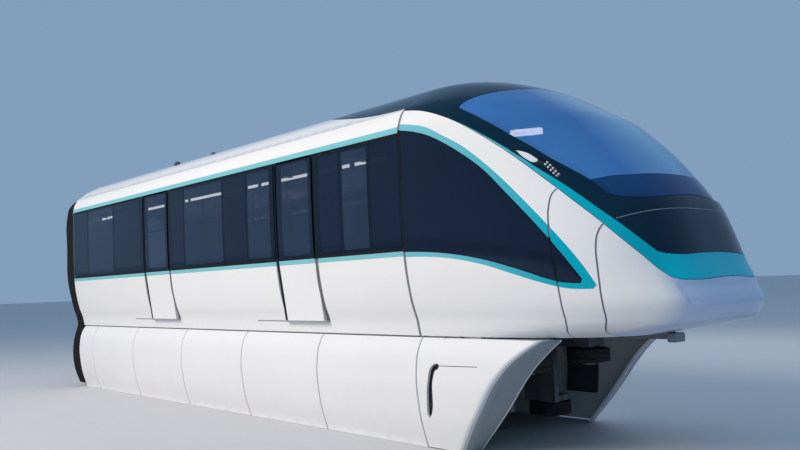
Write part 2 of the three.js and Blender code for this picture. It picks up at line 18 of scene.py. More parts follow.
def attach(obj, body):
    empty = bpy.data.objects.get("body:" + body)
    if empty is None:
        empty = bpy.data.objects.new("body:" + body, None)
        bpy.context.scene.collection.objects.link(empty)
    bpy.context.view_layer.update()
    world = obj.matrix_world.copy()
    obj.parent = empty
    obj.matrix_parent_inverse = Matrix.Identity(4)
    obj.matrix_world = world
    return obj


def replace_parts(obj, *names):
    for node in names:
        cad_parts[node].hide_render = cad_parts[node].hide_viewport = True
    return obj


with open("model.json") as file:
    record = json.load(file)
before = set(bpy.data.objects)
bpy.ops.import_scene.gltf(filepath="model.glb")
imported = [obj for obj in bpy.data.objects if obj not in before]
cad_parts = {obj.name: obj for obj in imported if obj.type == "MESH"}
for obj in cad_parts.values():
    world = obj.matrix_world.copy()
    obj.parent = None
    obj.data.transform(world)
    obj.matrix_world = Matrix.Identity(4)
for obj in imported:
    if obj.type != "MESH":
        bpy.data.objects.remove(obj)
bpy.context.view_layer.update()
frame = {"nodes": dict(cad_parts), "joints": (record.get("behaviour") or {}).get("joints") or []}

# Driving dimensions
CAB = 4.15  # joint between saloon and cab
REAR = -6.05  # rear face of the body
WALL_START = -5.96
WALL_TOP = 2.728  # where wall and roof meet
AXLE_X = 4.5  # each axle stands this far from the origin
SILL = 0.08
SEAM = 0.004  # how far a cab panel stands back from its seam, beside its own edge
JOINT_GAP = 0.015  # and from the joint between cab and saloon
DOOR_GAP = 0.05  # how far a leaf stands back from its opening on each side
BAND = (1.07, 2.45)  # dark window band
STRIPE = (1.008, 2.525)  # outer edges of the light stripes along the band
DOOR_FLOOR = 0.235  # foot of a door opening
DOOR_FOOT_Y = 1.415  # where a leaf's foot stands, proud of the wall
DOORS = {"rear": (-2.69, -1.67), "front": (1.52, 2.49)}
SIDES = {"right": -1, "left": 1}
SPINE = (CAB + 1.2, 1.3)  # front end and height of the line that all outer faces look away from

# Cab surface and side section, one row per height:
# z, half width, length ahead of the cab joint, squareness of the plan curve
CAB_ROWS = [
    (0.08, 1.33, 2.42, 2.8),
    (0.17, 1.35, 2.94, 3.0),
    (0.26, 1.37, 3.17, 3.2),
    (0.42, 1.43, 3.22, 3.4),
    (0.61, 1.48, 3.12, 3.5),
    (0.83, 1.52, 3.01, 3.5),
    (1.07, 1.545, 2.93, 3.4),
    (1.40, 1.56, 2.82, 3.1),
    (1.80, 1.568, 2.58, 2.8),
    (2.10, 1.57, 2.34, 2.65),
    (2.45, 1.57, 1.95, 2.5),
    (2.60, 1.54, 1.69, 2.5),
    (2.73, 1.47, 1.47, 2.5),
    (2.905, 1.25, 1.18, 2.5),
    (3.04, 1.00, 0.855, 2.4),
    (3.135, 0.60, 0.49, 2.3),
    (3.177, 0.30, 0.25, 2.2),
    (3.197, 0.0, 0.0, 2.2),
]

# The skirt's section: z, half width
SKIRT_ROWS = [(-1.2, 1.29), (-0.8, 1.405), (-0.42, 1.448), (-0.17, 1.426), (-0.1, 1.408), (0.05, 1.33),
              (0.074, 1.306)]
SKIRT_FOOT, SKIRT_TOP = SKIRT_ROWS[0][0], SKIRT_ROWS[-1][0]

# Lines on the cab in side view, ahead of the cab joint: x, z
SHOULDER = [(0, 2.728), (0.308, 2.668), (0.732, 2.506), (1.232, 2.212), (1.609, 1.954), (1.818, 1.798),
            (2.026, 1.649), (2.219, 1.496), (2.399, 1.342), (2.566, 1.194), (2.712, 1.045), (2.83, 0.91)]
BAND_EDGE = [(1.232, 2.197), (1.612, 1.915), (1.833, 1.732), (2.038, 1.562), (2.228, 1.396), (2.411, 1.23),
             (2.578, 1.06), (2.726, 0.9), (2.864, 0.738), (2.94, 0.665)]
SCREEN_SIDE = [(0.826, 2.61), (1.177, 2.41), (1.482, 2.205), (1.707, 2.052), (1.906, 1.905),
               (2.089, 1.782), (2.29, 1.635), (2.43, 1.5)]
LAMP = [(1.54, 2.042), (1.642, 2.008), (1.745, 1.943), (1.838, 1.886), (1.904, 1.868), (1.978, 1.793),
        (2.03, 1.69), (1.977, 1.712), (1.887, 1.797), (1.775, 1.868), (1.67, 1.914)]
LENS = [(1.558, 2.029), (1.642, 2.002), (1.745, 1.938), (1.788, 1.893), (1.77, 1.878), (1.67, 1.922)]
LED_ROW = [(1.868, 1.861), (1.99, 1.724)]  # first and last of the small lamps behind the lens
SCREEN_TOP = [(0.84, 2.65), (0.894, 2.705), (1.009, 2.773), (1.104, 2.82), (1.151, 2.85), (1.183, 2.892)]
REAR_SEAM = [(1.92, 0.08), (1.934, 0.122), (1.987, 0.224), (2.004, 0.365), (2.008, 0.622), (1.985, 0.9),
             (1.955, 1.15), (1.944, 1.42), (1.966, 1.53), (2.035, 1.6)]
FRONT_SEAM = [(2.27, 0.08), (2.297, 0.135), (2.388, 0.256), (2.412, 0.391), (2.412, 0.583), (2.4, 0.8),
              (2.39, 0.968), (2.4, 1.1), (2.433, 1.185), (2.5, 1.24)]
WINDOW_TOP = [(0, 2.475), (0.228, 2.423), (0.435, 2.355), (0.644, 2.25), (0.849, 2.124), (1.056, 1.98),
              (1.257, 1.813), (1.418, 1.648), (1.649, 1.411), (1.864, 1.179), (2.062, 0.939), (2.25, 0.672)]
WINDOW_FOOT = [(2.235, 0.638), (2.059, 0.652), (1.88, 0.7), (1.695, 0.765), (1.466, 0.838), (1.225, 0.905),
               (0.958, 0.963), (0.676, 1.008), (0.338, 1.043), (0, 1.0625)]
FRAME_TOP = [(0, 2.555), (0.23, 2.507), (0.434, 2.446), (0.672, 2.315), (0.915, 2.172), (1.2, 1.95),
             (1.41, 1.762), (1.642, 1.534), (1.861, 1.306), (2.064, 1.08), (2.251, 0.836), (2.385, 0.61)]
FRAME_FOOT = [(2.35, 0.575), (2.102, 0.588), (1.826, 0.656), (1.525, 0.75), (1.214, 0.848), (0.955, 0.908),
              (0.671, 0.955), (0.3, 0.988), (0, 1.0)]
# Lines across the front of the cab: y, z
MASK_FOOT = [(-0.84, 0.89), (-0.684, 0.878), (-0.367, 0.89), (0, 0.9)]
BAND_FOOT = [(-0.82, 0.64), (-0.573, 0.633), (-0.2, 0.65), (0, 0.655)]
SCREEN_FOOT = [(-0.975, 1.46), (-0.754, 1.452), (-0.305, 1.482), (0, 1.5)]
SCREEN_STEP = [(-1.13, 1.653), (-1.051, 1.668), (-0.927, 1.691), (-0.769, 1.7), (-0.543, 1.714),
               (-0.205, 1.723), (0, 1.727)]
SCREEN_HEAD = [(0.37, 2.892), (0, 2.905), (-0.37, 2.892)]
TRIM_LINE = [(-1.116, 1.243), (-1.013, 1.274), (-0.794, 1.314), (-0.387, 1.342), (0, 1.346)]

# How much rounder than the body the windscreen is at each height, which sinks its sides between the pillars
SOFTENING = [(1.4, 0.3), (1.69, 0.34), (2.0, 0.42), (2.25, 0.42), (2.5, 0.22), (2.66, 0.0)]
# The shallow panel pressed into the front of the nose
CHIN_HALF = 0.93
CHIN_Z = (0.372, 0.64)
CHIN_DEPTH = 0.016


# Surfaces

def eased(start, end, leaving, coming, s):
    """Points on the curve between two points with the slopes given there."""
    first = start * (2 * s**3 - 3 * s**2 + 1) + leaving * (s**3 - 2 * s**2 + s)
    return first + (end * (3 * s**2 - 2 * s**3) + coming * (s**3 - s**2))


def smooth_rows(rows, steps):
    """The rows with more between them, on curves that never overshoot."""
    table = np.array(rows, float)
    rise = np.diff(table, axis=0)
    slope = np.empty_like(table)
    slope[0], slope[-1] = rise[0], rise[-1]
    before, after = rise[:-1], rise[1:]
    together = before * after > 0
    mean = 2 * before * after / np.where(together, before + after, 1)
    slope[1:-1] = np.where(together, mean, 0)
    s = np.arange(steps)[:, None] / steps
    parts = [eased(table[k], table[k + 1], slope[k], slope[k + 1], s) for k in range(len(rise))]
    return np.vstack([*parts, table[-1:]])


HEIGHT, HALF_WIDTH, LENGTH, SQUARE = smooth_rows(CAB_ROWS, 24).T
mean_radius = (HALF_WIDTH + LENGTH) / 2
down_steps = np.hypot(np.diff(HEIGHT), np.diff(mean_radius))[::-1]
DOWN = np.concatenate([[0], np.cumsum(down_steps)])[::-1]  # way down from the top of the cab


def section(z):
    """Half width, length and squareness of the cab at each height."""
    return [np.interp(z, HEIGHT, column) for column in (HALF_WIDTH, LENGTH, SQUARE)]


def chart(turn, z):
    """A place on the flat chart of the cab: the way down from the top, turned about it."""
    down = np.interp(z, HEIGHT, DOWN)
    return np.stack([down * np.cos(turn), down * np.sin(turn)], -1)


def glass_softening(z):
    return np.interp(z, *np.array(SOFTENING).T)


def on_cab(uv, softening=None):
    """The cab's surface at places on the chart."""
    turn = np.arctan2(uv[:, 1], uv[:, 0])
    z = np.interp(np.hypot(*uv.T), DOWN[::-1], HEIGHT[::-1])
    w, a, n = section(z)
    if softening:
        n = n - softening(z)
    c, s = np.cos(turn), np.sin(turn)
    radius = (np.abs(c) ** n + np.abs(s) ** n) ** (-1 / n)
    return np.stack([CAB + a * c * radius, w * s * radius, z], -1)


def on_glass(uv):
    return on_cab(uv, glass_softening)


def chin_relief(points):
    """Depth of the shallow panel pressed into the front of the nose."""
    y, z = np.abs(points[:, 1]), points[:, 2]
    foot, top = CHIN_Z
    across = np.clip((CHIN_HALF - 0.3 * np.clip(0.66 - z, 0, 1) - y) / 0.07, 0, 1)
    above = np.clip((z - foot - 0.04 * (1 - y)) / 0.045, 0, 1)
    share = across * above * np.clip((top - z) / 0.09, 0, 1)
    return CHIN_DEPTH * share**2 * (3 - 2 * share)


def on_nose(uv):
    points = on_cab(uv)
    points[:, 0] -= chin_relief(points)
    return points


def on_side(side):
    """The saloon's wall: x and z on the side, out to the section's width."""
    return lambda uv: np.stack([uv[:, 0], side * section(uv[:, 1])[0], uv[:, 1]], -1)


def seen_from_side(points, side):
    """Chart places of points given in side view, ahead of the cab joint."""
    x, z = np.array(points, float).T
    _, a, n = section(z)
    share = np.clip(x / np.maximum(a, 1e-6), 0, 1)
    across = np.clip(1 - share**n, 0, 1) ** (1 / n)
    return chart(np.arctan2(side * across, share), z)


def seen_from_front(points):
    """Chart places of points given in front view: y, z."""
    y, z = np.array(points, float).T
    w, _, n = section(z)
    across = np.clip(y / w, -1, 1)
    ahead = np.clip(1 - np.abs(across) ** n, 0, 1) ** (1 / n)
    return chart(np.arctan2(across, ahead), z)


# Lines

def curve(points, step=0.03):
    """A smooth line through the points."""
    p = np.array(points, float)
    if len(p) == 2:
        count = max(int(np.ceil(np.linalg.norm(p[1] - p[0]) / step)), 1)
        return p[0] + (p[1] - p[0]) * np.linspace(0, 1, count + 1)[:, None]
    gaps = np.linalg.norm(np.diff(p, axis=0), axis=1)
    slopes = np.diff(p, axis=0) / gaps[:, None]
    weight = (gaps[:-1] / (gaps[:-1] + gaps[1:]))[:, None]
    inner = slopes[:-1] * (1 - weight) + slopes[1:] * weight
    tangents = np.vstack([slopes[:1] * 1.5 - inner[:1] * 0.5, inner, slopes[-1:] * 1.5 - inner[-1:] * 0.5])
    parts = []
    for k, gap in enumerate(gaps):
        count = max(int(np.ceil(gap / step)), 2)
        s = (np.arange(count) / count)[:, None]
        parts.append(eased(p[k], p[k + 1], tangents[k] * gap, tangents[k + 1] * gap, s))
    return np.vstack([*parts, p[-1:]])


def joined(*lines):
    """Lines joined into one, without doubled points."""
    points = np.vstack(lines)
    fresh = np.linalg.norm(points - np.roll(points, 1, axis=0), axis=1) > 1e-5
    return points[fresh]


def ring(points, step=0.03):
    """A smooth closed outline through the points."""
    return curve([*points, points[0]], step)[:-1]


def across_front(line):
    """A line from the right to the middle, carried on to the left as its mirror image."""
    return np.vstack([line, (line * [-1, 1])[-2::-1]])


def rounded(corners, radius, step=0.03):
    """A closed outline with rounded corners; radius is one number or one for each corner."""
    corners = np.array(corners, float)
    count = len(corners)
    radii = [radius] * count if np.isscalar(radius) else radius
    parts = []
    for k, corner in enumerate(corners):
        if radii[k] == 0:
            parts.append(corner[None])
            continue
        back = corners[k - 1] - corner
        on = corners[(k + 1) % count] - corner
        back /= np.linalg.norm(back)
        on /= np.linalg.norm(on)
        half = math.acos(np.clip(back @ on, -1, 1)) / 2
        reach = radii[k] / math.tan(half)
        middle = corner + (back + on) / np.linalg.norm(back + on) * radii[k] / math.sin(half)
        start, end = corner + back * reach - middle, corner + on * reach - middle
        turns = np.linspace(0, 1, 7)[:, None]
        arc = start * (1 - turns) + end * turns
        parts.append(middle + arc / np.linalg.norm(arc, axis=1)[:, None] * radii[k])
    corners = np.vstack(parts)
    closed = np.vstack([corners, corners[:1]])
    return joined(*[curve(closed[k:k + 2], step) for k in range(len(corners))])


def rectangle(x, z, radius=0.0, step=0.03):
    return rounded([(x[0], z[0]), (x[1], z[0]), (x[1], z[1]), (x[0], z[1])], radius, step)


def inside(points, loop):
    """Which points lie in a closed outline."""
    x, y = points.T
    found = np.zeros(len(points), bool)
    for (x0, y0), (x1, y1) in zip(loop, np.roll(loop, -1, axis=0)):
        if y0 == y1:
            continue
        crossed = (y0 > y) != (y1 > y)
        found ^= crossed & (x < (x1 - x0) * (y - y0) / (y1 - y0) + x0)
    return found


# Meshes

SHARP_ANGLE = math.radians(32)  # faces that meet at more than this show an edge


def unit(vectors):
    return vectors / np.maximum(np.linalg.norm(vectors, axis=-1, keepdims=True), 1e-12)


def add_object(name, points, faces, finishes, body="car", shades=None, normals=None):
    mesh = bpy.data.meshes.new(name)
    mesh.from_pydata(np.asarray(points, float).tolist(), [], faces)
    for finish in finishes:
        mesh.materials.append(FINISHES[finish])
    if shades is not None:
        mesh.polygons.foreach_set("material_index", np.asarray(shades, np.int32))
    mesh.polygons.foreach_set("use_smooth", np.ones(len(faces), bool))
    mesh.update()
    if normals is None:
        mesh.set_sharp_from_angle(angle=SHARP_ANGLE)
    else:
        mesh.normals_split_custom_set(normals.tolist())
    piece = bpy.data.objects.new(name, mesh)
    bpy.context.scene.collection.objects.link(piece)
    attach(piece, body)
    return piece


def facing(surface, uv):
    """Outward unit normals of a surface."""
    small = 1e-4
    along = surface(uv + [small, 0]) - surface(uv - [small, 0])
    up = surface(uv + [0, small]) - surface(uv - [0, small])
    normals = unit(np.cross(along, up))
    points = surface(uv)
    spine = np.stack([np.minimum(points[:, 0], SPINE[0]), 0 * points[:, 1], 0 * points[:, 2] + SPINE[1]], -1)
    away = ((points - spine) * normals).sum(1)
    return normals * np.sign(away)[:, None]


def filled(lines, look, surface, step):
    """Triangles on the flat, edged along every line; look gives each its finish, or -1 to leave it out."""
    every = np.vstack([line for line, _ in lines])
    low, high = every.min(0), every.max(0)
    row, margin = step * 0.87, step * 0.55  # between rows of even triangles, and beside the lines
    xs = np.arange(low[0] + step / 2, high[0], step)
    ys = np.arange(low[1] + step / 2, high[1], row)
    grid = np.array([(x + (k % 2) * step / 2, y) for k, y in enumerate(ys) for x in xs]).reshape(-1, 2)
    grid = grid[look(grid, surface(grid)) >= 0]
    tree = KDTree(len(every))
    for k, point in enumerate(every):
        tree.insert((*point, 0), k)
    tree.balance()
    clear = [p for p in grid if tree.find((*p, 0))[2] > margin]
    edges, start = [], 0
    for line, closed in lines:
        count = len(line)
        edges += [(start + k, start + (k + 1) % count) for k in range(count if closed else count - 1)]
        start += count
    made = delaunay_2d_cdt([Vector(p) for p in [*every, *clear]], edges, [], 0, 1e-6)
    uv = np.array([v[:] for v in made[0]])
    triangles = np.array(made[2])
    middles = uv[triangles].mean(1)
    shades = look(middles, surface(middles))
    keep = shades >= 0
    used, flat = np.unique(triangles[keep], return_inverse=True)
    return uv[used], flat.reshape(-1, 3), shades[keep]


def shape(outline, holes=(), paints=()):
    """Lines and look of an outline with holes; each paint is a finish's number and the outline it fills."""
    lines = [(outline, True), *[(hole, True) for hole in holes], *[(loop, True) for _, loop in paints]]

    def look(uv, xyz):
        shades = np.where(inside(uv, outline), 0, -1)
        for shade, loop in paints:
            shades[(shades >= 0) & inside(uv, loop)] = shade
        for hole in holes:
            shades[inside(uv, hole)] = -1
        return shades

    return lines, look


def panel(name, drawn, surface, finishes, thick=0.03, step=0.05, edge=0.003, gap=0.0, sunk=0.0):
    """A sheet on a surface, with rounded edges, standing back by half of the gap from its outline."""
    uv, triangles, shades = filled(*drawn, surface, step)
    n = facing(surface, uv)
    p = surface(uv) - sunk * n
    count = len(p)
    a, b, c = (p[triangles[:, k]] for k in range(3))
    turned = (np.cross(b - a, c - a) * n[triangles[:, 0]]).sum(1) < 0
    triangles[turned] = triangles[turned][:, ::-1]
    starts = triangles.ravel()
    ends = np.roll(triangles, -1, axis=1).ravel()
    owners = np.repeat(np.arange(len(triangles)), 3)
    alone = ~np.isin(starts * count + ends, ends * count + starts)
    i, j, owner = starts[alone], ends[alone], owners[alone]
    out = unit(np.cross(p[j] - p[i], n[i] + n[j]))
    leaving, coming = np.zeros((count, 3)), np.zeros((count, 3))
    leaving[i], coming[j] = out, out
    rim = np.unique(i)
    spread = 1 + (leaving[rim] * coming[rim]).sum(1, keepdims=True)
    mitre = (leaving[rim] + coming[rim]) / np.maximum(spread, 0.5)
    outward = unit(mitre)
    slot_of = np.full(count, -1)
    slot_of[rim] = np.arange(len(rim))
    base, up = p[rim], n[rim]
    inset = gap / 2 + edge
    p = p.copy()
    p[rim] = base - mitre * inset
    bend = edge * (1 - math.sqrt(0.5))
    rings = [base - mitre * (gap / 2 + bend) - up * bend,
             base - mitre * gap / 2 - up * edge,
             base - mitre * gap / 2 - up * thick]
    back = p - n * thick
    points = np.vstack([p, back, *rings])
    first = 2 * count
    wide = len(rim)
    si, sj = slot_of[i], slot_of[j]
    ring_i = [i, first + si, first + wide + si, first + 2 * wide + si]
    ring_j = [j, first + sj, first + wide + sj, first + 2 * wide + sj]
    quads = [np.stack([ring_j[k], ring_i[k], ring_i[k + 1], ring_j[k + 1]], 1) for k in range(3)]
    back_index = np.arange(count) + count
    back_index[rim] = first + 2 * wide + np.arange(wide)
    reverse = back_index[triangles][:, ::-1]
    faces = triangles.tolist() + np.vstack(quads).tolist() + reverse.tolist()
    leans = [n[rim], unit(n[rim] + outward), outward, outward]
    sides = [np.stack([leans[k][sj], leans[k][si], leans[k + 1][si], leans[k + 1][sj]], 1) for k in range(3)]
    normals = np.vstack([n[triangles].reshape(-1, 3), np.vstack(sides).reshape(-1, 3),
                         -n[triangles[:, ::-1]].reshape(-1, 3)])
    all_shades = np.concatenate([shades, np.tile(shades[owner], 3), shades])
    return add_object(name, *dropped(points, faces), finishes, shades=all_shades, normals=normals)


def dropped(points, faces):
    """The points and faces without points that no face uses."""
    used = np.unique(np.concatenate([np.array(face) for face in faces]))
    order = np.full(len(points), -1)
    order[used] = np.arange(len(used))
    return points[used], [[int(order[k]) for k in face] for face in faces]


def sweep(name, path, up, profile, finish, closed=False):
    """A profile of (side, up) pairs carried along a path."""
    if closed:
        tangent = unit(np.roll(path, -1, 0) - np.roll(path, 1, 0))
    else:
        tangent = unit(np.gradient(path, axis=0))
    side = unit(np.cross(up, tangent))
    lift = np.cross(tangent, side)
    rings = [path + side * s + lift * u for s, u in profile]
    return lofted(name, np.stack(rings, 1), finish, closed)


def between(rows, wide, closed=False):
    """Faces between closed rows of points, the last row joined to the first one where asked."""
    faces = []
    for r in range(rows if closed else rows - 1):
        here, there = r * wide, (r + 1) % rows * wide
        for k in range(wide):
            m = (k + 1) % wide
            faces.append([here + k, here + m, there + m, there + k])
    return faces


def lofted(name, rows, finish, closed=False, body="car"):
    """A skin over closed rows of points, closed in itself or with its ends filled."""
    points = np.asarray(rows, float)
    count, wide = points.shape[:2]
    faces = between(count, wide, closed)
    if not closed:
        faces += [list(range(wide))[::-1], [(count - 1) * wide + k for k in range(wide)]]
    return outward_faces(add_object(name, points.reshape(-1, 3), faces, [finish], body))


def outward_faces(piece):
    """Turns every face of a closed mesh outwards."""
    mesh = bmesh.new()
    mesh.from_mesh(piece.data)
    bmesh.ops.recalc_face_normals(mesh, faces=mesh.faces)
    mesh.to_mesh(piece.data)
    mesh.free()
    piece.data.set_sharp_from_angle(angle=SHARP_ANGLE)
    return piece


def seal(name, line, surface, width, finish, depth=(0.006, 0.03), closed=False):
    """A rubber strip along a line on a surface, a little below it."""
    n = facing(surface, line)
    top, foot = depth
    half, round_off = width / 2, min(width / 5, 0.004)
    profile = [(-half, -foot), (half, -foot), (half, -top - round_off), (half - round_off, -top),
               (round_off - half, -top), (-half, -top - round_off)]
    return sweep(name, surface(line), n, profile, finish, closed)


def ring_profile(radius, sides=10):
    return [(radius * math.cos(2 * math.pi * k / sides), radius * math.sin(2 * math.pi * k / sides))
            for k in range(sides)]


def prism(name, outline, axis, ends, finish, bevel=0.004):
    """An outline carried along one axis, with rounded edges."""
    line = np.asarray(outline, float)
    order = {"x": (2, 0, 1), "y": (0, 2, 1), "z": (0, 1, 2)}[axis]
    points = []
    for end in ends:
        flat = np.column_stack([line, np.full(len(line), end)])
        points.append(flat[:, order])
    count = len(line)
    faces = [list(range(count)), [count + k for k in range(count)][::-1]]
    faces += [[k, (k + 1) % count, count + (k + 1) % count, count + k] for k in range(count)]
    piece = outward_faces(add_object(name, np.vstack(points), faces, [finish]))
    round_edges(piece, bevel).harden_normals = True
    return piece


def round_edges(piece, width):
    soften = piece.modifiers.new("rounded edges", "BEVEL")
    soften.width = width
    soften.segments = 2
    soften.limit_method = "ANGLE"
    return soften


def block(name, x, y, z, finish):
    return prism(name, [(x[0], y[0]), (x[1], y[0]), (x[1], y[1]), (x[0], y[1])], "z", z, finish)


def lathe(name, profile, centre, axis, finish, turns, body="car"):
    """A closed profile of (radius, along) pairs turned about an axis."""
    angles = np.arange(turns) * 2 * math.pi / turns
    points = []
    for angle in angles:
        for radius, along in profile:
            across, up = radius * math.cos(angle), radius * math.sin(angle)
            points.append((across, along, up) if axis == "y" else (across, up, along))
    rows = np.reshape(points, (turns, len(profile), 3)) + np.array(centre)
    return lofted(name, rows, finish, True, body)


# Finishes

FINISHES = {}
NAVY_PAINTED_REFLECTION = (0.4, 0.62, 1.0)  # painted reflection: the navy tint given to everything that dark glass and gloss black mirror


class Shader:
    """A material's node tree with one principled shader."""

    def __init__(self, name, slot):
        self.material = bpy.data.materials.new(name)
        self.material.use_nodes = True
        self.tree = self.material.node_tree
        self.shader = self.tree.nodes["Principled BSDF"]
        FINISHES[name] = self.material
        self.place = self.add("ShaderNodeTexCoord").outputs["Object"]

    def add(self, kind, inputs=None, **settings):
        node = self.tree.nodes.new(kind)
        for key, value in settings.items():
            setattr(node, key, value)
        for key, value in (inputs or {}).items():
            self.put(node.inputs[key], value)
        return node

    def put(self, socket, value):
        if isinstance(value, bpy.types.NodeSocket):
            self.tree.links.new(value, socket)
        else:
            socket.default_value = value

    def set(self, **values):
        for key, value in values.items():
            self.put(self.shader.inputs[key.replace("_", " ")], value)

    def axis(self, number):
        return self.add("ShaderNodeSeparateXYZ", {0: self.place}).outputs[number]

    def noise(self, scale, detail, stretch=(1, 1, 1)):
        place = self.add("ShaderNodeMapping", {"Vector": self.place, "Scale": stretch}).outputs[0]
        inputs = {"Vector": place, "Scale": scale, "Detail": detail}
        return self.add("ShaderNodeTexNoise", inputs).outputs["Fac"]

    def spread(self, value, low, high, start=0.3, end=0.7):
        inputs = {0: value, 1: start, 2: end, 3: low, 4: high}
        return self.add("ShaderNodeMapRange", inputs).outputs[0]

    def mix(self, share, one, other):
        node = self.add("ShaderNodeMix", data_type="RGBA")
        self.put(node.inputs[0], share)
        self.put(node.inputs[6], (*one, 1) if isinstance(one, tuple) else one)
        self.put(node.inputs[7], (*other, 1) if isinstance(other, tuple) else other)
        return node.outputs[2]

    def clouded(self, color, vary, scale, detail):
        """The colour, a little darker and lighter from place to place."""
        share = self.spread(self.noise(scale, detail), 0, 1)
        return self.mix(share, tone(color, 1 - vary), tone(color, 1 + vary))

    def math(self, operation, one, other=0.0):
        return self.add("ShaderNodeMath", {0: one, 1: other}, operation=operation).outputs[0]

    def bump(self, height, distance, strength):
        inputs = {"Height": height, "Distance": distance, "Strength": strength}
        return self.add("ShaderNodeBump", inputs).outputs[0]


def tone(color, share):
    return tuple(min(c * share, 1) for c in color)


def painted(name, slot, color, rough=0.3, coat=0.6, vary=0.012, dust_share=0.06, reflection_tint=None, fades=(),
            bands=()):
    """Sprayed paint: faint orange peel, slight unevenness, and dust that settles low on the car. Fades and
    bands change the colour along an axis or between heights; some finishes use fades for painted shade and
    painted light, and the tint, where given, is a painted reflection colour.
    """
    s = Shader(name, slot)
    base = s.clouded(color, vary, 0.9, 3)
    height = s.axis(2)
    for axis, start, end, other in fades:
        along = s.math("ABSOLUTE", s.axis(axis))
        base = s.mix(s.spread(along, 0, 1, start, end), base, other)
    for (foot, top), other in bands:
        over, under = s.math("GREATER_THAN", height, foot), s.math("LESS_THAN", height, top)
        base = s.mix(s.math("MULTIPLY", over, under), base, other)
    low = s.spread(height, dust_share, min(dust_share, 0.006), SKIRT_FOOT, 0.0)
    streaks = s.noise(6, 5, stretch=(1, 1, 0.12))
    base = s.mix(s.math("MULTIPLY", low, s.spread(streaks, 0, 1, 0.35, 0.75)), base, (0.5, 0.48, 0.44))
    uneven = s.spread(s.noise(9, 4), rough * 0.97, rough * 1.03)
    rough_share = s.math("ADD", uneven, s.math("MULTIPLY", low, 0.4))
    peel = s.bump(s.noise(220, 1), 0.0001, 0.05)
    s.set(Base_Color=base, Roughness=rough_share, Coat_Weight=coat, Coat_Roughness=0.06, Normal=peel)
    # painted reflection: the tint colours the paint's specular and coat reflections
    if reflection_tint:
        s.set(Specular_IOR_Level=0.3, Specular_Tint=(*reflection_tint, 1), Coat_Tint=(*reflection_tint, 1))
    return s


def glazed(name, slot, color, alpha, depth=None, far=None, shine=0.35):
    """Tinted glazing, a little uneven as toughened glass is. Depth and far paint lighter blues into the
    colour, lower down and towards the middle of the car, as painted sky reflection; the reflections take the
    painted navy tint.
    """
    s = Shader(name, slot)
    base = s.clouded(color, 0.15, 0.6, 2)
    if depth:
        (low, high), other = depth
        base = s.mix(s.spread(s.axis(2), 1, 0, low, high), base, other)
    if far:
        base = s.mix(s.spread(s.math("ABSOLUTE", s.axis(1)), 1, 0, -0.1, 0.75), base, far)
    ripple = s.bump(s.noise(1.1, 1), 0.0008, 1.0)
    smear = s.spread(s.noise(5, 5, stretch=(1, 1, 0.3)), 0.03, 0.06)
    s.set(Base_Color=base, Roughness=smear, IOR=1.5, Alpha=alpha, Specular_IOR_Level=shine,
          Specular_Tint=(*NAVY_PAINTED_REFLECTION, 1), Normal=ripple)
    return s


def matt(name, slot, color, rough, grain=90, depth=0.0006, vary=0.12):
    """Rubber, moulded plastic or cast metal: a fine grain and uneven wear."""
    s = Shader(name, slot)
    base = s.clouded(color, vary, 3, 5)
    scuffs = s.spread(s.noise(22, 6, stretch=(0.3, 1, 1)), 0, 0.35, 0.58, 0.75)
    base = s.mix(scuffs, base, tone(color, 1.8))
    s.set(Base_Color=base, Roughness=s.spread(s.noise(9, 4), rough - 0.1, min(rough + 0.1, 1)),
          Normal=s.bump(s.noise(grain, 3), depth, 0.6))
    return s


def brushed(name, stretch):
    """Steel with fine lines along one way."""
    s = Shader(name, "bright_metal")
    lines = s.noise(60, 4, stretch)
    base = s.mix(s.spread(lines, 0, 1), tone(STEEL_TONE, 0.85), tone(STEEL_TONE, 1.1))
    s.set(Base_Color=base, Roughness=s.spread(lines, 0.22, 0.4), Metallic=1.0,
          Normal=s.bump(lines, 0.0003, 0.4))
    return s


def lit(name, color, strength):
    """A lamp's diffuser: small prisms over an even glow."""
    s = Shader(name, "lamp_clear")
    prisms = s.add("ShaderNodeTexVoronoi", {"Vector": s.place, "Scale": 120.0}).outputs["Distance"]
    s.set(Base_Color=s.mix(s.spread(prisms, 0, 1, 0, 0.8), tone(color, 0.9), color), Roughness=0.25,
          Emission_Color=(*color, 1), Emission_Strength=strength, Normal=s.bump(prisms, 0.0015, 0.5))
    return s


def woven(name, slot, color, other):
    """Seat cloth: two threads over and under each other, with a soft sheen."""
    s = Shader(name, slot)
    yarn = {"Vector": s.place, "Scale": 110.0, "Distortion": 0.6}
    warp = s.add("ShaderNodeTexWave", yarn).outputs["Fac"]
    weft = s.add("ShaderNodeTexWave", yarn, bands_direction="Z").outputs["Fac"]
    weave = s.math("MAXIMUM", warp, weft)
    cloud = s.spread(s.noise(7, 5), 0, 1)
    s.set(Base_Color=s.mix(cloud, s.mix(weave, tone(color, 0.6), color), other), Roughness=0.9,
          Sheen_Weight=0.4, Sheen_Roughness=0.4, Normal=s.bump(weave, 0.0012, 0.8))
    return s


WHITE_TONE = (0.86, 0.86, 0.85)
TEAL_TONE = (0.0, 0.43, 0.52)
AQUA_TONE = (0.2, 0.55, 0.59)
# painted shade, laid over the middle of the roof
ROOF_PAINTED_SHADE = (0.55, 0.6, 0.68)
MASK_TONE = (0.002, 0.019, 0.034)
BAND_TONE = (0.004, 0.01, 0.019)
STEEL_TONE = (0.6, 0.61, 0.62)
painted("white", "body_white", WHITE_TONE, rough=0.28)
# Painted shade on the front skirt's end face, in steps from light to deep; the lightest step also paints a
# highlight along its inner rim.
painted("skirt_light", "body_white", (0.7, 0.73, 0.76), rough=0.35)
painted("skirt_mid", "body_white", (0.5, 0.55, 0.6), rough=0.4)
painted("skirt_shade", "body_white", (0.24, 0.29, 0.33), rough=0.45, coat=0.2)
painted("coupler_grey", "underframe_grey", (0.13, 0.17, 0.22), rough=0.4)
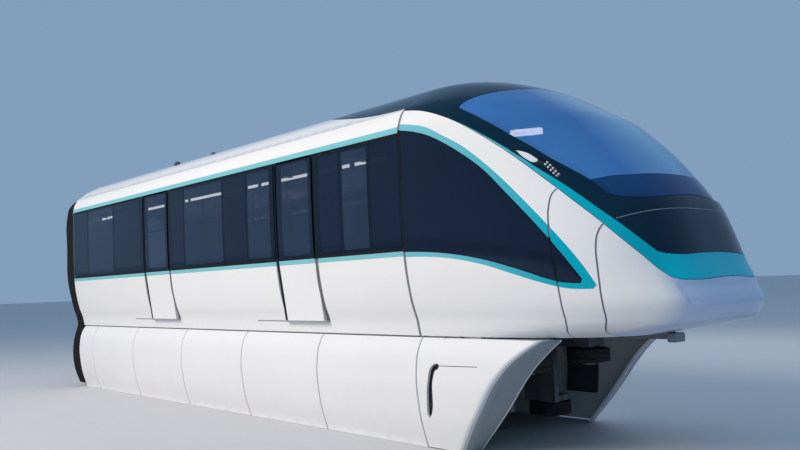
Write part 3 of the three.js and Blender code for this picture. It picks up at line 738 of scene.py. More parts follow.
# The band fades from aqua to teal along the car; across the front of the nose, inward of 1.0 off the middle
# line, a lighter teal is painted light.
painted("teal", "teal_stripe", AQUA_TONE, rough=0.3, coat=0.2, dust_share=0.05, reflection_tint=(0.1, 0.7, 1.0),
        fades=[(0, CAB + 0.5, CAB + 2.0, TEAL_TONE), (1, 1.0, 0.8, (0.0, 0.58, 0.68))])
# Painted shade: the roof turns greyish blue inward of 1.28 off the middle line, fully so inside 1.05.
painted("roof_white", "body_white", WHITE_TONE, rough=0.35, fades=[(1, 1.28, 1.05, ROOF_PAINTED_SHADE)])
painted("aqua", "teal_stripe", AQUA_TONE, rough=0.28, dust_share=0.08)
# Painted shade: the front of the nose turns blue-grey inward of 1.0 off the middle line, fully so inside
# 0.82.
painted("nose_white", "body_white", WHITE_TONE, rough=0.28, fades=[(1, 1.0, 0.82, (0.47, 0.58, 0.78))])
painted("frame_white", "body_white", WHITE_TONE, bands=[(STRIPE, AQUA_TONE), (BAND, BAND_TONE)])
painted("black_gloss", "mask_black", MASK_TONE, rough=0.1, coat=0.12, vary=0.2, dust_share=0.0,
        reflection_tint=NAVY_PAINTED_REFLECTION)
painted("band_black", "mask_black", BAND_TONE, rough=0.1, coat=0.12, vary=0.2, dust_share=0.0,
        reflection_tint=NAVY_PAINTED_REFLECTION)
painted("chassis", "underframe_grey", (0.16, 0.18, 0.2), rough=0.55, coat=0.0, vary=0.15)
painted("bogie", "bogie_grey", (0.085, 0.09, 0.095), rough=0.5, coat=0.1, vary=0.2, dust_share=0.5)
glazed("glass_dark", "window_glass", (0.008, 0.014, 0.03), 0.98)
glazed("glass_light", "window_glass", (0.022, 0.04, 0.075), 0.8)
# Painted sky reflection: the windscreen's blue lightens a little towards its foot and much more towards the
# middle of the car.
glazed("screen", "windscreen_glass", (0.05, 0.19, 0.5), 0.9, depth=((1.6, 2.9), (0.06, 0.22, 0.55)),
       far=(0.3, 0.64, 0.92), shine=0.4)
glazed("screen_low", "windscreen_glass", (0.01, 0.06, 0.19), 0.96)
matt("rubber", "bellows_rubber", (0.006, 0.007, 0.009), rough=0.8)
matt("seam_grey", "bellows_rubber", (0.2, 0.21, 0.23), rough=0.8)
matt("seam_light", "bellows_rubber", (0.33, 0.35, 0.38), rough=0.8)
matt("door_seal_painted_light", "bellows_rubber", (0.13, 0.135, 0.14), rough=0.7)
matt("bellows", "bellows_rubber", (0.016, 0.016, 0.017), rough=0.85, grain=240)
matt("tyre", "tyre_black", (0.018, 0.018, 0.018), rough=0.85, grain=120, depth=0.001)
matt("trim", "interior_trim", (0.42, 0.44, 0.46), rough=0.6, grain=300, depth=0.0003)
matt("trim_dark", "interior_trim", (0.06, 0.065, 0.07), rough=0.6, grain=300, depth=0.0004)
matt("floor_vinyl", "interior_trim", (0.2, 0.22, 0.24), rough=0.55, grain=400, vary=0.2)
brushed("steel", (0.05, 1, 1))
brushed("pole_steel", (1, 1, 0.02))
painted("lamp_silver", "lamp_clear", (0.78, 0.8, 0.84), rough=0.12, coat=1.0, dust_share=0.0)
painted("lamp_black", "lamp_clear", (0.006, 0.008, 0.012), rough=0.2, dust_share=0.0)
lit("ceiling_light", (0.95, 0.97, 1.0), 12.0)
lit("cab_light", (0.97, 0.98, 1.0), 45.0)
lit("led", (0.75, 0.78, 0.85), 0.03)
woven("seat_cloth", "seat_blue", (0.02, 0.07, 0.16), (0.03, 0.12, 0.22))


# Cab: white panels, mask, windscreen and side windows

def on_both(points):
    """Chart lines of one side-view line, on the right and on the left."""
    line = curve(points)
    return [seen_from_side(line, side) for side in SIDES.values()]


def front_line(points):
    """The chart line of a front-view line from the right to the middle, carried on to the left."""
    return seen_from_front(across_front(curve(points)))


def round_the_front(side_points, front_points):
    """A chart line forward along the right side, across the front and back along the left side."""
    right, left = on_both(side_points)
    return joined(right, front_line(front_points), left[::-1])


def level(z):
    """The chart line at one height, from the right to the left."""
    angles = np.radians(np.linspace(-90, 90, 90))
    return chart(angles, np.full(len(angles), z))


MASK_EDGE = round_the_front(SHOULDER, MASK_FOOT)
WHITE_EDGE = round_the_front([*SHOULDER[:3], *BAND_EDGE], BAND_FOOT)
top_right, top_left = on_both(SCREEN_TOP)
SCREEN_EDGE = joined(round_the_front(SCREEN_SIDE, SCREEN_FOOT),
                     top_left, seen_from_front(curve(SCREEN_HEAD)), top_right[::-1])
STEP_LINE = front_line(SCREEN_STEP)
JOINT = curve([(0.0, -chart(0, SILL)[0]), (0.0, chart(0, SILL)[0])])
BAND_FROM = 1.5  # ahead of the cab joint, where the coloured band becomes a piece of its own


def moved(line, ahead):
    return [(x + ahead, z) for x, z in line]


def behind(xyz, seam, ahead):
    line = curve(seam)
    return xyz[:, 0] - CAB < np.interp(xyz[:, 2], line[:, 1], line[:, 0]) + ahead


def window_loop(side, top=WINDOW_TOP, foot=WINDOW_FOOT):
    line = joined(curve(top), curve(foot))
    return seen_from_side(line, side)


def cab_shell():
    """The white panels of the cab, in the pieces that its seams show."""
    foot, edge = (level(SILL), False), (WHITE_EDGE, False)
    for k, (name, side) in enumerate(SIDES.items()):
        window, band = window_loop(side), window_loop(side, FRAME_TOP, FRAME_FOOT)
        cuts = [(on_both(moved(seam, ahead))[k], False)
                for seam in (REAR_SEAM, FRONT_SEAM) for ahead in (-SEAM, SEAM)]
        start = (seen_from_side(curve([(JOINT_GAP, 2.74), (JOINT_GAP, SILL)]), side), False)
        lines = [foot, edge, start, (window, True), (band, True), *cuts]

        def look(uv, xyz, part):
            white = ~inside(uv, WHITE_EDGE) & ~inside(uv, window) & (uv[:, 1] * side > 0)
            white &= (xyz[:, 2] > SILL) & (xyz[:, 0] > CAB + JOINT_GAP)
            if part == "cab_side":
                wanted = behind(xyz, REAR_SEAM, -SEAM)
            else:
                wanted = ~behind(xyz, REAR_SEAM, SEAM) & behind(xyz, FRONT_SEAM, -SEAM)
            return np.where(white & wanted, np.where(inside(uv, band), 1, 0), -1)

        for part in ("cab_side", "corner_panel"):
            drawn = (lines, lambda uv, xyz: look(uv, xyz, part))
            piece = panel(f"{part}_{name}", drawn, on_cab, ["white", "teal"], gap=0.009)
            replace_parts(piece, f"{part}_{name}")
        for part, ahead in (("cab_window", -SEAM), ("cab_window_tip", SEAM)):
            def glass(uv, xyz):
                wanted = behind(xyz, REAR_SEAM, ahead) == (ahead < 0)
                return np.where(inside(uv, window) & wanted, 0, -1)

            drawn = ([(window, True), *cuts[:2]], glass)
            pane = panel(f"{part}_{name}", drawn, on_cab, ["glass_dark"], thick=0.014, gap=0.012, sunk=0.002)
            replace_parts(pane, f"cab_window_{name}")
        seal(f"cab_window_seal_{name}", window, on_cab, 0.05, "rubber", closed=True)
        joint = [(0, WALL_TOP), (0, SILL + 0.01)]
        for seam, line in (("rear_seam", REAR_SEAM), ("front_seam", FRONT_SEAM), ("joint", joint)):
            path = on_both(line)[k]
            glazed_part = inside(path, window)
            turns = [0, *np.flatnonzero(np.diff(glazed_part.astype(int))), len(path) - 1]
            for part, (first, last) in enumerate(zip(turns, turns[1:])):
                finish = "rubber" if glazed_part[first + 1] else "seam_grey"
                run = path[first:last + 1]
                seal(f"{seam}_seal_{part}_{name}", run, on_cab, 0.06, finish, depth=(0.008, 0.03))

    lines = [foot, edge, *[(line, False) for line in on_both(moved(FRONT_SEAM, SEAM))]]

    def nose_look(uv, xyz):
        nose = ~inside(uv, WHITE_EDGE) & (xyz[:, 2] > SILL) & (uv[:, 0] > 0) & ~behind(xyz, FRONT_SEAM, SEAM)
        return np.where(nose, 0, -1)

    nose = panel("nose_shell", (lines, nose_look), on_nose, ["nose_white"], gap=0.009, step=0.035)
    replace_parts(nose, "nose_shell")


def cab_front():
    """The dark mask, the coloured band under it and the windscreen sunk between the pillars."""
    lamps = [seen_from_side(ring(LAMP), side) for side in SIDES.values()]
    starts = [(line, False) for line in on_both([(BAND_FROM, 1.9), (BAND_FROM, 2.1)])]
    edges = [(WHITE_EDGE, False), (MASK_EDGE, False), *starts]

    def mask_look(uv, xyz):
        body = inside(uv, WHITE_EDGE) & (uv[:, 0] > 0) & ~inside(uv, SCREEN_EDGE)
        band = ~inside(uv, MASK_EDGE)
        body &= ~(band & (xyz[:, 0] > CAB + BAND_FROM)) & ~inside(uv, lamps[0]) & ~inside(uv, lamps[1])
        return np.where(body, np.where(band, 1, 0), -1)

    def band_look(uv, xyz):
        band = inside(uv, WHITE_EDGE) & ~inside(uv, MASK_EDGE) & (xyz[:, 0] > CAB + BAND_FROM)
        return np.where(band, 0, -1)

    lines = [*edges, (SCREEN_EDGE, True), *[(lamp, True) for lamp in lamps], (JOINT, False)]
    mask = panel("nose_mask", (lines, mask_look), on_cab, ["black_gloss", "teal"], gap=0.003)
    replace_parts(mask, "nose_mask")
    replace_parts(panel("nose_band", (edges, band_look), on_cab, ["teal"], gap=0.003), "nose_band")

    def screen_look(uv, xyz):
        lower = xyz[:, 2] < np.interp(np.abs(xyz[:, 1]), *np.array(SCREEN_STEP)[::-1].T * [[-1], [1]])
        return np.where(inside(uv, SCREEN_EDGE), np.where(lower, 1, 0), -1)

    screen = panel("windscreen", ([(SCREEN_EDGE, True), (STEP_LINE, False)], screen_look), on_glass,
                   ["screen", "screen_low"], thick=0.014, gap=0.012)
    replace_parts(screen, "windscreen")
    seal("windscreen_seal", SCREEN_EDGE, on_glass, 0.05, "rubber", depth=(0.003, 0.03), closed=True)
    outer, sunk = on_cab(SCREEN_EDGE), on_glass(SCREEN_EDGE)
    n = facing(on_cab, SCREEN_EDGE)
    away = unit(np.cross(np.roll(outer, -1, 0) - np.roll(outer, 1, 0), n))
    rings = [outer - 0.004 * n + 0.004 * away, sunk - 0.012 * n, sunk - 0.012 * n + 0.02 * away,
             outer - 0.02 * n + 0.024 * away]
    lofted("pillar_reveal", np.stack(rings, 1), "black_gloss", closed=True)
    seal("mask_trim_line", front_line(TRIM_LINE), on_cab, 0.006, "seam_light", depth=(-0.001, 0.004))


def dome(name, place, surface, radius, finish):
    """A small round lens on a surface."""
    centre, n = surface(place[None])[0], facing(surface, place[None])[0]
    across = unit(np.cross(n, (0, 0, 1)))
    up = np.cross(n, across)
    angles = np.linspace(0, 2 * math.pi, 16, endpoint=False)
    around = [math.cos(a) * across + math.sin(a) * up for a in angles]
    rows = []
    for share, lift in ((1.0, -0.02), (1.0, 0.0), (0.87, 0.006), (0.5, 0.011), (0.12, 0.0125)):
        rows.append([centre + radius * share * way + lift * n for way in around])
    return lofted(name, rows, finish)


LAMP_DEPTH = 0.016  # how far the dark bed lies under the mask
SMALL_LAMPS = 10  # in pairs
SMALL_LAMP_RADIUS = 0.0125
LAMP_STAGGER = (0.008, 0.01)  # how far each of a pair stands beside the row's line: x, z


def on_lamp_bed(uv):
    return on_cab(uv) - LAMP_DEPTH * facing(on_cab, uv)


def headlamps():
    """In each dark housing a silver lens, and a row of small lamps under it."""
    for name, side in SIDES.items():
        housing, lens = [seen_from_side(ring(loop), side) for loop in (LAMP, LENS)]
        bed = panel(f"lamp_bed_{name}", shape(housing), on_cab, ["lamp_black"], thick=0.012, gap=0.002,
                    sunk=LAMP_DEPTH, edge=0.001)
        glass = panel(f"lamp_lens_{name}", shape(lens), on_cab, ["lamp_silver"], thick=0.018, sunk=-0.001,
                      edge=0.006)
        pieces = [bed, glass]
        first, last = np.array(LED_ROW)
        pairs = SMALL_LAMPS // 2
        for lamp in range(SMALL_LAMPS):
            beside = np.array(LAMP_STAGGER) * (1 if lamp % 2 else -1)
            place = seen_from_side([first + (last - first) * (lamp // 2) / (pairs - 1) + beside], side)[0]
            pieces.append(dome(f"lamp_small_{lamp}_{name}", place, on_lamp_bed, SMALL_LAMP_RADIUS, "led"))
        for piece in pieces:
            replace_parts(piece, f"headlamp_{name}")


# Saloon: walls, doors, glazing and roof

ROOF_ROWS = [(0, 3.197), (0.08, 3.196), (0.3, 3.181), (0.6, 3.137), (1.0, 3.04), (1.25, 2.905),
             (1.47, 2.73)]  # y, z
ROOF_HALF = ROOF_ROWS[-1][0]
ROOF_SEAMS = [-3.7, -1.4, 0.9]
CROWN_BACK = 2.8  # how far the dark crown runs back from the joint
CROWN_HALF = 1.44  # and half its width there
ROOF_LINE = smooth_rows(ROOF_ROWS, 8).T
SPLITS = {  # where each run of glazing is divided, and which parts are clear enough to look through
    "rear": [(-5.96, -5.25, "glass_dark"), (-5.25, -3.97, "glass_light"), (-3.97, -2.77, "glass_dark")],
    "middle": [(-1.61, -1.14, "glass_dark"), (-1.14, 0.13, "glass_light"), (0.13, 0.8, "glass_dark"),
               (0.8, 1.45, "glass_light")],
    "front": [(2.55, 3.03, "glass_dark"), (3.03, 3.59, "glass_light"), (3.59, 4.15, "glass_dark")],
}
POSTS = [(-2.77, -2.69), (-1.67, -1.61), (1.45, 1.52), (2.49, 2.55)]
PANE_Z = (1.1, 2.425)
PANE_RIM = 0.035  # dark edge round the part of a pane that is clear
DOOR_FRAME = 0.075
ROOF_FITTINGS = [(-2.43, 1.0), (-1.12, 0.65)]  # place along the car and relative size
FITTING = [(0, 0), (0.065, 0), (0.065, 0.02), (0.05, 0.034), (0.045, 0.05), (0.03, 0.06), (0, 0.062)]
FITTING_FOOT = 3.03
POCKET = 0.79  # how far a door slides back beside its opening
TRACK_SLOT = (0.226, 0.238)  # heights of the slot that its foot runs in
TRACK_LINE = 0.232
FLAT_STEP = 0.12  # mesh size on walls and panes


def on_roof(uv):
    return np.stack([uv[:, 0], uv[:, 1], np.interp(np.abs(uv[:, 1]), *ROOF_LINE)], -1)


def lower_wall():
    """Wall outline between the sill and the window band, cut back at the doors."""
    end = CAB - JOINT_GAP
    points, radii = [(WALL_START, SILL), (end, SILL), (end, BAND[0])], [0, 0, 0]
    for start, end in sorted(DOORS.values(), reverse=True):
        points += [(end, BAND[0]), (end, DOOR_FLOOR), (start, DOOR_FLOOR), (start, BAND[0])]
        radii += [0, 0.015, 0.015, 0]
    return rounded([*points, (WALL_START, BAND[0])], [*radii, 0], 0.06)


def glazing(name, node, rim, clear, wall, looks, gap):
    """A pane whose clear part lies within a dark rim."""
    drawn = shape(rim, (), [(1, clear)])
    pane = panel(name, drawn, wall, looks, thick=0.012, gap=gap, step=FLAT_STEP, edge=0.002)
    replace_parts(pane, node)


def saloon_side(name, side):
    wall = on_side(side)
    along = (WALL_START - 1, CAB + 1)
    pockets = [rectangle((start - POCKET, start - 0.04), TRACK_SLOT, 0.004) for start, _ in DOORS.values()]
    over_band = rectangle((WALL_START, CAB - JOINT_GAP), (BAND[1], WALL_TOP), step=0.06)
    parts = (("lower", lower_wall(), pockets, (STRIPE[0], BAND[0] + 0.1), 0.09),
             ("upper", over_band, (), (BAND[1] - 0.1, STRIPE[1]), 0.06))
    for part, outline, holes, stripe, step in parts:
        drawn = shape(outline, holes, [(1, rectangle(along, stripe))])
        piece = panel(f"wall_{part}_{name}", drawn, wall, ["white", "aqua"], gap=0.006, step=step)
        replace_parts(piece, f"side_wall_{name}")
    for k, ends in enumerate(POSTS):
        post = panel(f"band_post_{name}_{k}", shape(rectangle(ends, BAND, step=0.06)), wall, ["band_black"],
                     thick=0.02, gap=0.008, step=FLAT_STEP)
        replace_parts(post, f"side_wall_{name}")
    for run, parts in SPLITS.items():
        for k, (start, end, look) in enumerate(parts):
            rim = rectangle((start, end), PANE_Z, 0.012, 0.06)
            across = (start + PANE_RIM, end - PANE_RIM)
            clear = rectangle(across, (PANE_Z[0] + 0.04, PANE_Z[1] - 0.04), 0.03, 0.06)
            looks = ["band_black", look]
            glazing(f"pane_{run}_{k}_{name}", f"pane_{run}_{name}", rim, clear, wall, looks, 0.014)
        for k, x in enumerate([parts[0][0], *[part[1] for part in parts]]):
            line = curve([(x, BAND[0]), (x, BAND[1])], 0.1)
            seal(f"pane_seal_{run}_{k}_{name}", line, wall, 0.07, "rubber", depth=(0.001, 0.02))
    for k, z in enumerate(PANE_Z):
        middle = (z + BAND[k]) / 2
        line = curve([(WALL_START, middle), (CAB, middle)], 0.15)
        seal(f"band_seal_{k}_{name}", line, wall, 0.054, "rubber", depth=(0.005, 0.025))
    for end_name, ends in DOORS.items():
        door(end_name, ends, name, side)


def on_door(side):
    """A door leaf's outer face, which is flat below the windows."""
    def place(uv):
        z = uv[:, 1]
        flat_part = np.interp(z, [DOOR_FLOOR, BAND[0]], [DOOR_FOOT_Y, section(BAND[0])[0]])
        return np.stack([uv[:, 0], side * np.where(z < BAND[0], flat_part, section(z)[0]), z], -1)
    return place


def door(end_name, ends, name, side):
    wall = on_door(side)
    start, end = ends
    leaf = rectangle((start + DOOR_GAP, end - DOOR_GAP), (DOOR_FLOOR - 0.009, BAND[1]), 0.02, 0.05)
    glass = rectangle((start + DOOR_FRAME, end - DOOR_FRAME), PANE_Z, 0.05, 0.05)
    along = (start - 1, end + 1)
    paints = ((1, (STRIPE[0], BAND[0])), (1, (BAND[1], STRIPE[1])), (2, BAND))
    drawn = shape(leaf, [glass], [(look, rectangle(along, heights)) for look, heights in paints])
    piece = panel(f"door_leaf_{end_name}_{name}", drawn, wall, ["white", "aqua", "band_black"],
                  gap=0.034, step=0.09, edge=0.006, thick=0.06)
    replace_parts(piece, f"door_{end_name}_{name}")
    heights = (PANE_Z[0] + PANE_RIM, PANE_Z[1] - PANE_RIM)
    clear = rectangle((start + 0.2, end - 0.15), heights, 0.05, 0.05)
    glazing(f"door_glass_{end_name}_{name}", f"door_pane_{end_name}_{name}", glass, clear, wall,
            ["glass_dark", "glass_light"], 0.01)
    # Below the windows the front seal is grey where the rear one is black: painted light on the lit side of
    # the gap.
    edges = (("rear", start + 0.045, "rubber", wall, 0.09),
             ("front", end - 0.03, "door_seal_painted_light", on_side(side), 0.095))
    for part, x, look, base, width in edges:
        for k, heights in enumerate(((DOOR_FLOOR, BAND[0]), BAND)):
            line = curve([(x, z) for z in heights], 0.06)
            finish = "rubber" if k else look
            seal(f"door_seal_{part}_{k}_{end_name}_{name}", line, base, width, finish, depth=(0.009, 0.07))
    foot = curve([(start + 0.01, DOOR_FLOOR), (end - 0.01, DOOR_FLOOR)], 0.1)
    seal(f"door_seal_foot_{end_name}_{name}", foot, wall, 0.03, "seam_light", depth=(0.006, 0.07))
    seal(f"door_glass_seal_{end_name}_{name}", glass, wall, 0.035, "rubber", depth=(0.004, 0.02),
         closed=True)
    slot_line = curve([(start - POCKET, TRACK_LINE), (start - 0.03, TRACK_LINE)], 0.1)
    seal(f"door_track_{end_name}_{name}", slot_line, on_side(side), 0.03, "seam_light", depth=(0.004, 0.03))


def roof():
    angles = np.linspace(-math.pi / 2, math.pi / 2, 80)
    tail = np.column_stack([CAB - CROWN_BACK * np.cos(angles), CROWN_HALF * np.sin(angles)])
    spans = [WALL_START, *ROOF_SEAMS, CAB]
    for k, (start, end) in enumerate(zip(spans, spans[1:])):
        outline = rectangle((start, end), (-ROOF_HALF, ROOF_HALF), step=0.06)
        if end == CAB:
            corners = [(CAB, CROWN_HALF), (CAB, ROOF_HALF), (start, ROOF_HALF), (start, -ROOF_HALF),
                       (CAB, -ROOF_HALF), (CAB, -CROWN_HALF)]
            outline = joined(tail, *[curve(ends, 0.06) for ends in zip(corners, corners[1:])])
        piece = panel(f"roof_panel_{k}", shape(outline), on_roof, ["roof_white"], gap=0.004, step=0.08)
        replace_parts(piece, "roof_panel")
        if k:
            line = curve([(start, 0.01 - ROOF_HALF), (start, ROOF_HALF - 0.01)], 0.06)
            seal(f"roof_seal_{k}", line, on_roof, 0.05, "rubber", depth=(0.004, 0.02))
    crown = joined(tail, curve([tail[-1], tail[0]], 0.06))
    piece = panel("roof_crown", shape(crown), on_roof, ["black_gloss"], gap=0.004, step=0.07)
    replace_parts(piece, "roof_crown")
    seal("roof_crown_seal", tail, on_roof, 0.03, "rubber", depth=(0.004, 0.02))
    for name, side in SIDES.items():
        for k, (x, size) in enumerate(ROOF_FITTINGS):
            cap = [(radius * size, up * size) for radius, up in FITTING]
            lathe(f"roof_fitting_{k}_{name}", cap, (x, side, FITTING_FOOT), "z", "trim_dark", turns=24)


# Skirts, gangway and coupler

SKIRT_LINE = smooth_rows(SKIRT_ROWS, 10).T
SKIRT_SEAMS = [4.17 - 1.9 * k for k in range(6)]
SKIRT_SEAM_Z = (-1.18, 0.04)
RETURN_Y = 1.05
CORNER = 0.13  # rounding between the skirt's side and its end face
# Lines ahead of the cab joint: the end face in side view as z, x, then the vent and its tail as x, z,
# and the ledge that closes the sill as x, y
END_LINE = [(-1.2, 0.61), (-1.09, 0.69), (-0.74, 0.96), (-0.39, 1.22), (-0.21, 1.39), (-0.03, 1.62),
            (0.05, 1.745)]
VENT = [(0.15, -0.8), (0.167, -0.83), (0.19, -0.8), (0.285, -0.36), (0.31, -0.292), (0.37, -0.243),
        (0.365, -0.232), (0.295, -0.235), (0.245, -0.285), (0.225, -0.36)]
VENT_LINE = [(0.36, -0.2375), (0.95, -0.222)]
WELL_X, WELL_Z = (CAB + 0.11, CAB + 0.6), (-0.86, -0.19)  # the dark well behind the vent
LOUVRES = 7
LOUVRE_START = (0.177, -0.76)
LOUVRE_PITCH = (0.012, 0.07)
SILL_STRIP = (1.3, 0.077)  # y, z
PAINTED_SHADE_STEPS = ((1, 0.15), (2, 0.4), (3, 0.7))  # painted shade round the corner onto the end face: each finish, and where it starts
LEDGE = [(0, 1.13), (0, 1.3), (1.58, 1.3), (1.68, 1.24), (1.72, 1.1), (1.6, 1.05)]
LEDGE_Z = (0.05, 0.068)
# Half sections of the gangway: y, z
PLEATS_OUTER = [(1.25, -1.15), (1.37, -0.8), (1.4, -0.42), (1.35, -0.1), (1.3, 0.06), (1.4, 0.5), (1.5, 1.0),
                (1.52, 1.7), (1.515, 2.4), (1.47, 2.6), (1.37, 2.72), (0.9, 2.845), (0.45, 2.875), (0, 2.885)]
PLEATS_INNER = [(1.19, -1.15), (1.31, -0.8), (1.34, -0.42), (1.28, -0.1), (1.22, 0.06), (0.9, 0.2),
                (0.72, 0.3), (0.72, 1.0), (0.72, 2.2), (0.68, 2.36), (0.6, 2.43), (0.4, 2.45), (0, 2.45)]
PLEATS, PLEATS_LENGTH, PLEAT_DEPTH = 5, 0.4796, 0.045
PLEATS_GAP = 0.0004  # between the rear face and the bellows
# The coupler's block under the nose: y, z
COUPLER_FACE = [(-0.11, -0.02), (0.11, -0.02), (0.11, 0.078), (-0.11, 0.078)]
COUPLER_X = (CAB + 2.432, CAB + 2.52)


def on_side_of(y, side):
    return lambda uv: np.column_stack([uv[:, 0], np.full(len(uv), side * y), uv[:, 1]])


def on_skirt(side):
    return lambda uv: np.stack([uv[:, 0], side * np.interp(uv[:, 1], *SKIRT_LINE), uv[:, 1]], -1)


def end_of_skirt(z):
    """Width of the skirt's side, and where its end face stands, at each height."""
    return np.interp(z, *SKIRT_LINE), CAB + np.interp(z, *smooth_rows(END_LINE, 10).T)


def on_front_skirt(side):
    """Along the side, round the corner and inwards over the end face."""
    def place(uv):
        along, z = uv.T
        y, end = end_of_skirt(z)
        turn = np.clip((along - (end - CORNER)) / CORNER, 0, math.pi / 2)
        past = np.maximum(along - (end - CORNER) - CORNER * math.pi / 2, 0)
        x = np.minimum(along, end - CORNER) + CORNER * np.sin(turn) + 0.35 * past
        return np.stack([x, side * (y - CORNER + CORNER * np.cos(turn) - past), z], -1)
    return place


def skirts(name, side):
    spans = [REAR, *SKIRT_SEAMS[::-1]]
    surface = on_skirt(side)
    for k, ends in enumerate(zip(spans, spans[1:])):
        outline = rectangle(ends, (SKIRT_FOOT - 0.0085, SKIRT_TOP), step=0.05)
        piece = panel(f"skirt_panel_{k}_{name}", shape(outline), surface, ["white"], gap=0.018, step=0.07,
                      edge=0.006)
        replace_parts(piece, f"skirt_{name}")
        seam = curve([(ends[1], z) for z in SKIRT_SEAM_Z], 0.05)
        seal(f"skirt_seal_{k}_{name}", seam, surface, 0.05, "seam_light", depth=(0.006, 0.024))
    heights = np.linspace(SKIRT_FOOT, SKIRT_TOP, 40)
    y, end = end_of_skirt(heights)
    arc = end - CORNER
    reach = arc + CORNER * math.pi / 2 + (y - CORNER - RETURN_Y)
    rim = np.stack([reach, heights], -1)
    foot, top = [(SKIRT_SEAMS[0], z) for z in (SKIRT_FOOT, SKIRT_TOP)]
    outline = joined(curve([foot, rim[0]]), rim, curve([rim[-1], top]), curve([top, foot]))
    vent = ring(VENT, 0.015) + [CAB, 0]
    past = np.vstack([rim[-1:] + [1, 0.01], rim[:1] + [1, -0.01]])
    tall = heights.copy()
    tall[[0, -1]] += -0.02, 0.02
    # Painted shade deepening round the corner onto the end face, then a painted highlight along its inner
    # rim.
    shades = []
    for shade, turn in PAINTED_SHADE_STEPS:
        shades.append((shade, joined(np.stack([arc + CORNER * turn, tall], -1), past)))
    shades.append((1, joined(np.stack([reach - 0.03, tall], -1), past)))
    y, z = SILL_STRIP
    sill = curve([(REAR, z), (CAB + 0.9, z)], 0.3)
    seal(f"sill_strip_{name}", sill, on_side_of(y, side), 0.03, "seam_light", depth=(0.0, 0.02))
    # The ledge that closes the sill takes the mid tone of painted shade, for the shade under the body's lower
    # edge.
    ledge = [(CAB + x, side * y) for x, y in LEDGE]
    prism(f"sill_ledge_{name}", ledge, "z", LEDGE_Z, "skirt_mid", bevel=0.003)
    front = on_front_skirt(side)
    tones = ["white", "skirt_light", "skirt_mid", "skirt_shade"]
    piece = panel(f"front_skirt_{name}", shape(outline, [vent], shades), front, tones, gap=0.018, step=0.04,
                  edge=0.006, thick=0.035)
    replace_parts(piece, f"front_skirt_{name}")
    tail = curve(VENT_LINE, 0.05) + [CAB, 0]
    seal(f"vent_tail_{name}", tail, front, 0.009, "rubber", depth=(-0.0008, 0.004))
    well = rectangle(WELL_X, WELL_Z, 0.02)
    panel(f"vent_back_{name}", shape(well), front, ["trim_dark"], sunk=0.06, thick=0.01, step=0.1)
    for k in range(LOUVRES):
        x = CAB + LOUVRE_START[0] + LOUVRE_PITCH[0] * k
        z = LOUVRE_START[1] + LOUVRE_PITCH[1] * k
        louvre = curve([(x, z), (x + 0.05, z + 0.015)], 0.02)
        seal(f"vent_louvre_{k}_{name}", louvre, front, 0.012, "trim_dark", depth=(0.03, 0.06))


def bellows():
    """The pleated gangway, its section carried down beside the beam."""
    outer, inner = curve(PLEATS_OUTER, 0.06), curve(PLEATS_INNER, 0.06)
    away = unit(np.gradient(outer, axis=0))
    inwards = np.stack([away[:, 1], -away[:, 0]], -1)
    inwards *= -np.sign((inwards * (outer - [0, 1])).sum(1))[:, None]
    inwards[-1] = (0, -1)
    rings = []
    for share in np.linspace(0, 1, PLEATS * 12 + 1):
        sink = PLEAT_DEPTH * (0.5 - 0.5 * math.cos(2 * math.pi * PLEATS * share)) ** 0.7
        line = outer + inwards * sink
        line[:, 0] = np.maximum(line[:, 0], 0)
        whole = np.vstack([line, (line * [-1, 1])[-2::-1], (inner * [-1, 1]), inner[-2::-1]])
        x = REAR - PLEATS_GAP - share * PLEATS_LENGTH
        rings.append(np.column_stack([np.full(len(whole), x), whole]))
    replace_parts(lofted("gangway_pleats", rings, "bellows"), "gangway_bellows")


# Running gear

LOAD_RADIUS = 0.5  # of a load tyre, and so the height of its axle over the beam
LOAD_TYRE_Y = (0.045, 0.285)
GUIDE_RADIUS = 0.265
GUIDE_HALF = 0.085  # half the width of a guide tyre
# Half sections of the turned parts: radius, along the axle
WHEEL_RIM = [(0.15, 0.225), (0.15, 0.315), (0.13, 0.318), (0.06, 0.318), (0.06, 0.1), (0.15, 0.1),
             (0.2, 0.19), (0.27, 0.2), (0.285, 0.12), (0.285, 0.05), (0.302, 0.05), (0.302, 0.28),
             (0.29, 0.283), (0.282, 0.24), (0.25, 0.228), (0.19, 0.222)]
AXLE = [(0, -0.43), (0.055, -0.43), (0.06, -0.425), (0.06, 0.425), (0.055, 0.43), (0, 0.43)]
HALF_HUB = [(0.0411, 0.085), (0.1, 0.085), (0.112, 0.075), (0.12, 0.03), (0.165, 0.025), (0.17, 0.062),
            (0.182, 0.062)]


def dress(node, finish, bevel=0.0):
    """A solid whose shape is right already: its finish, and its edges rounded."""
    piece = frame["nodes"][node]
    piece.data.materials.clear()
    piece.data.materials.append(FINISHES[finish])
    if bevel:
        round_edges(piece, bevel).angle_limit = math.radians(40)


def tread_profile(inner, outer, radius, rim, shoulder, grooves):
    """Half section of a tyre with grooves round its tread: radius, along."""
    edge = [(rim, 0), (radius - shoulder * 2.2, 0), (radius - shoulder, 0.004),
            (radius - shoulder * 0.3, shoulder * 0.4), (radius, shoulder * 1.2)]
    line = [(r, inner + along) for r, along in edge]
    width = outer - inner
    for k in range(grooves):
        middle = inner + width * (k + 1) / (grooves + 1)
        line += [(radius, middle - 0.006), (radius - 0.01, middle - 0.004), (radius - 0.01, middle + 0.004),
                 (radius, middle + 0.006)]
    return line + [(r, outer - along) for r, along in edge[::-1]]


def turned_parts(node, body, centre, axis, parts, turns):
    """The turned pieces of one wheel: each with its name, its section and its finish."""
    for name, profile, finish in parts:
        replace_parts(lathe(name, profile, centre, axis, finish, turns, body), node)


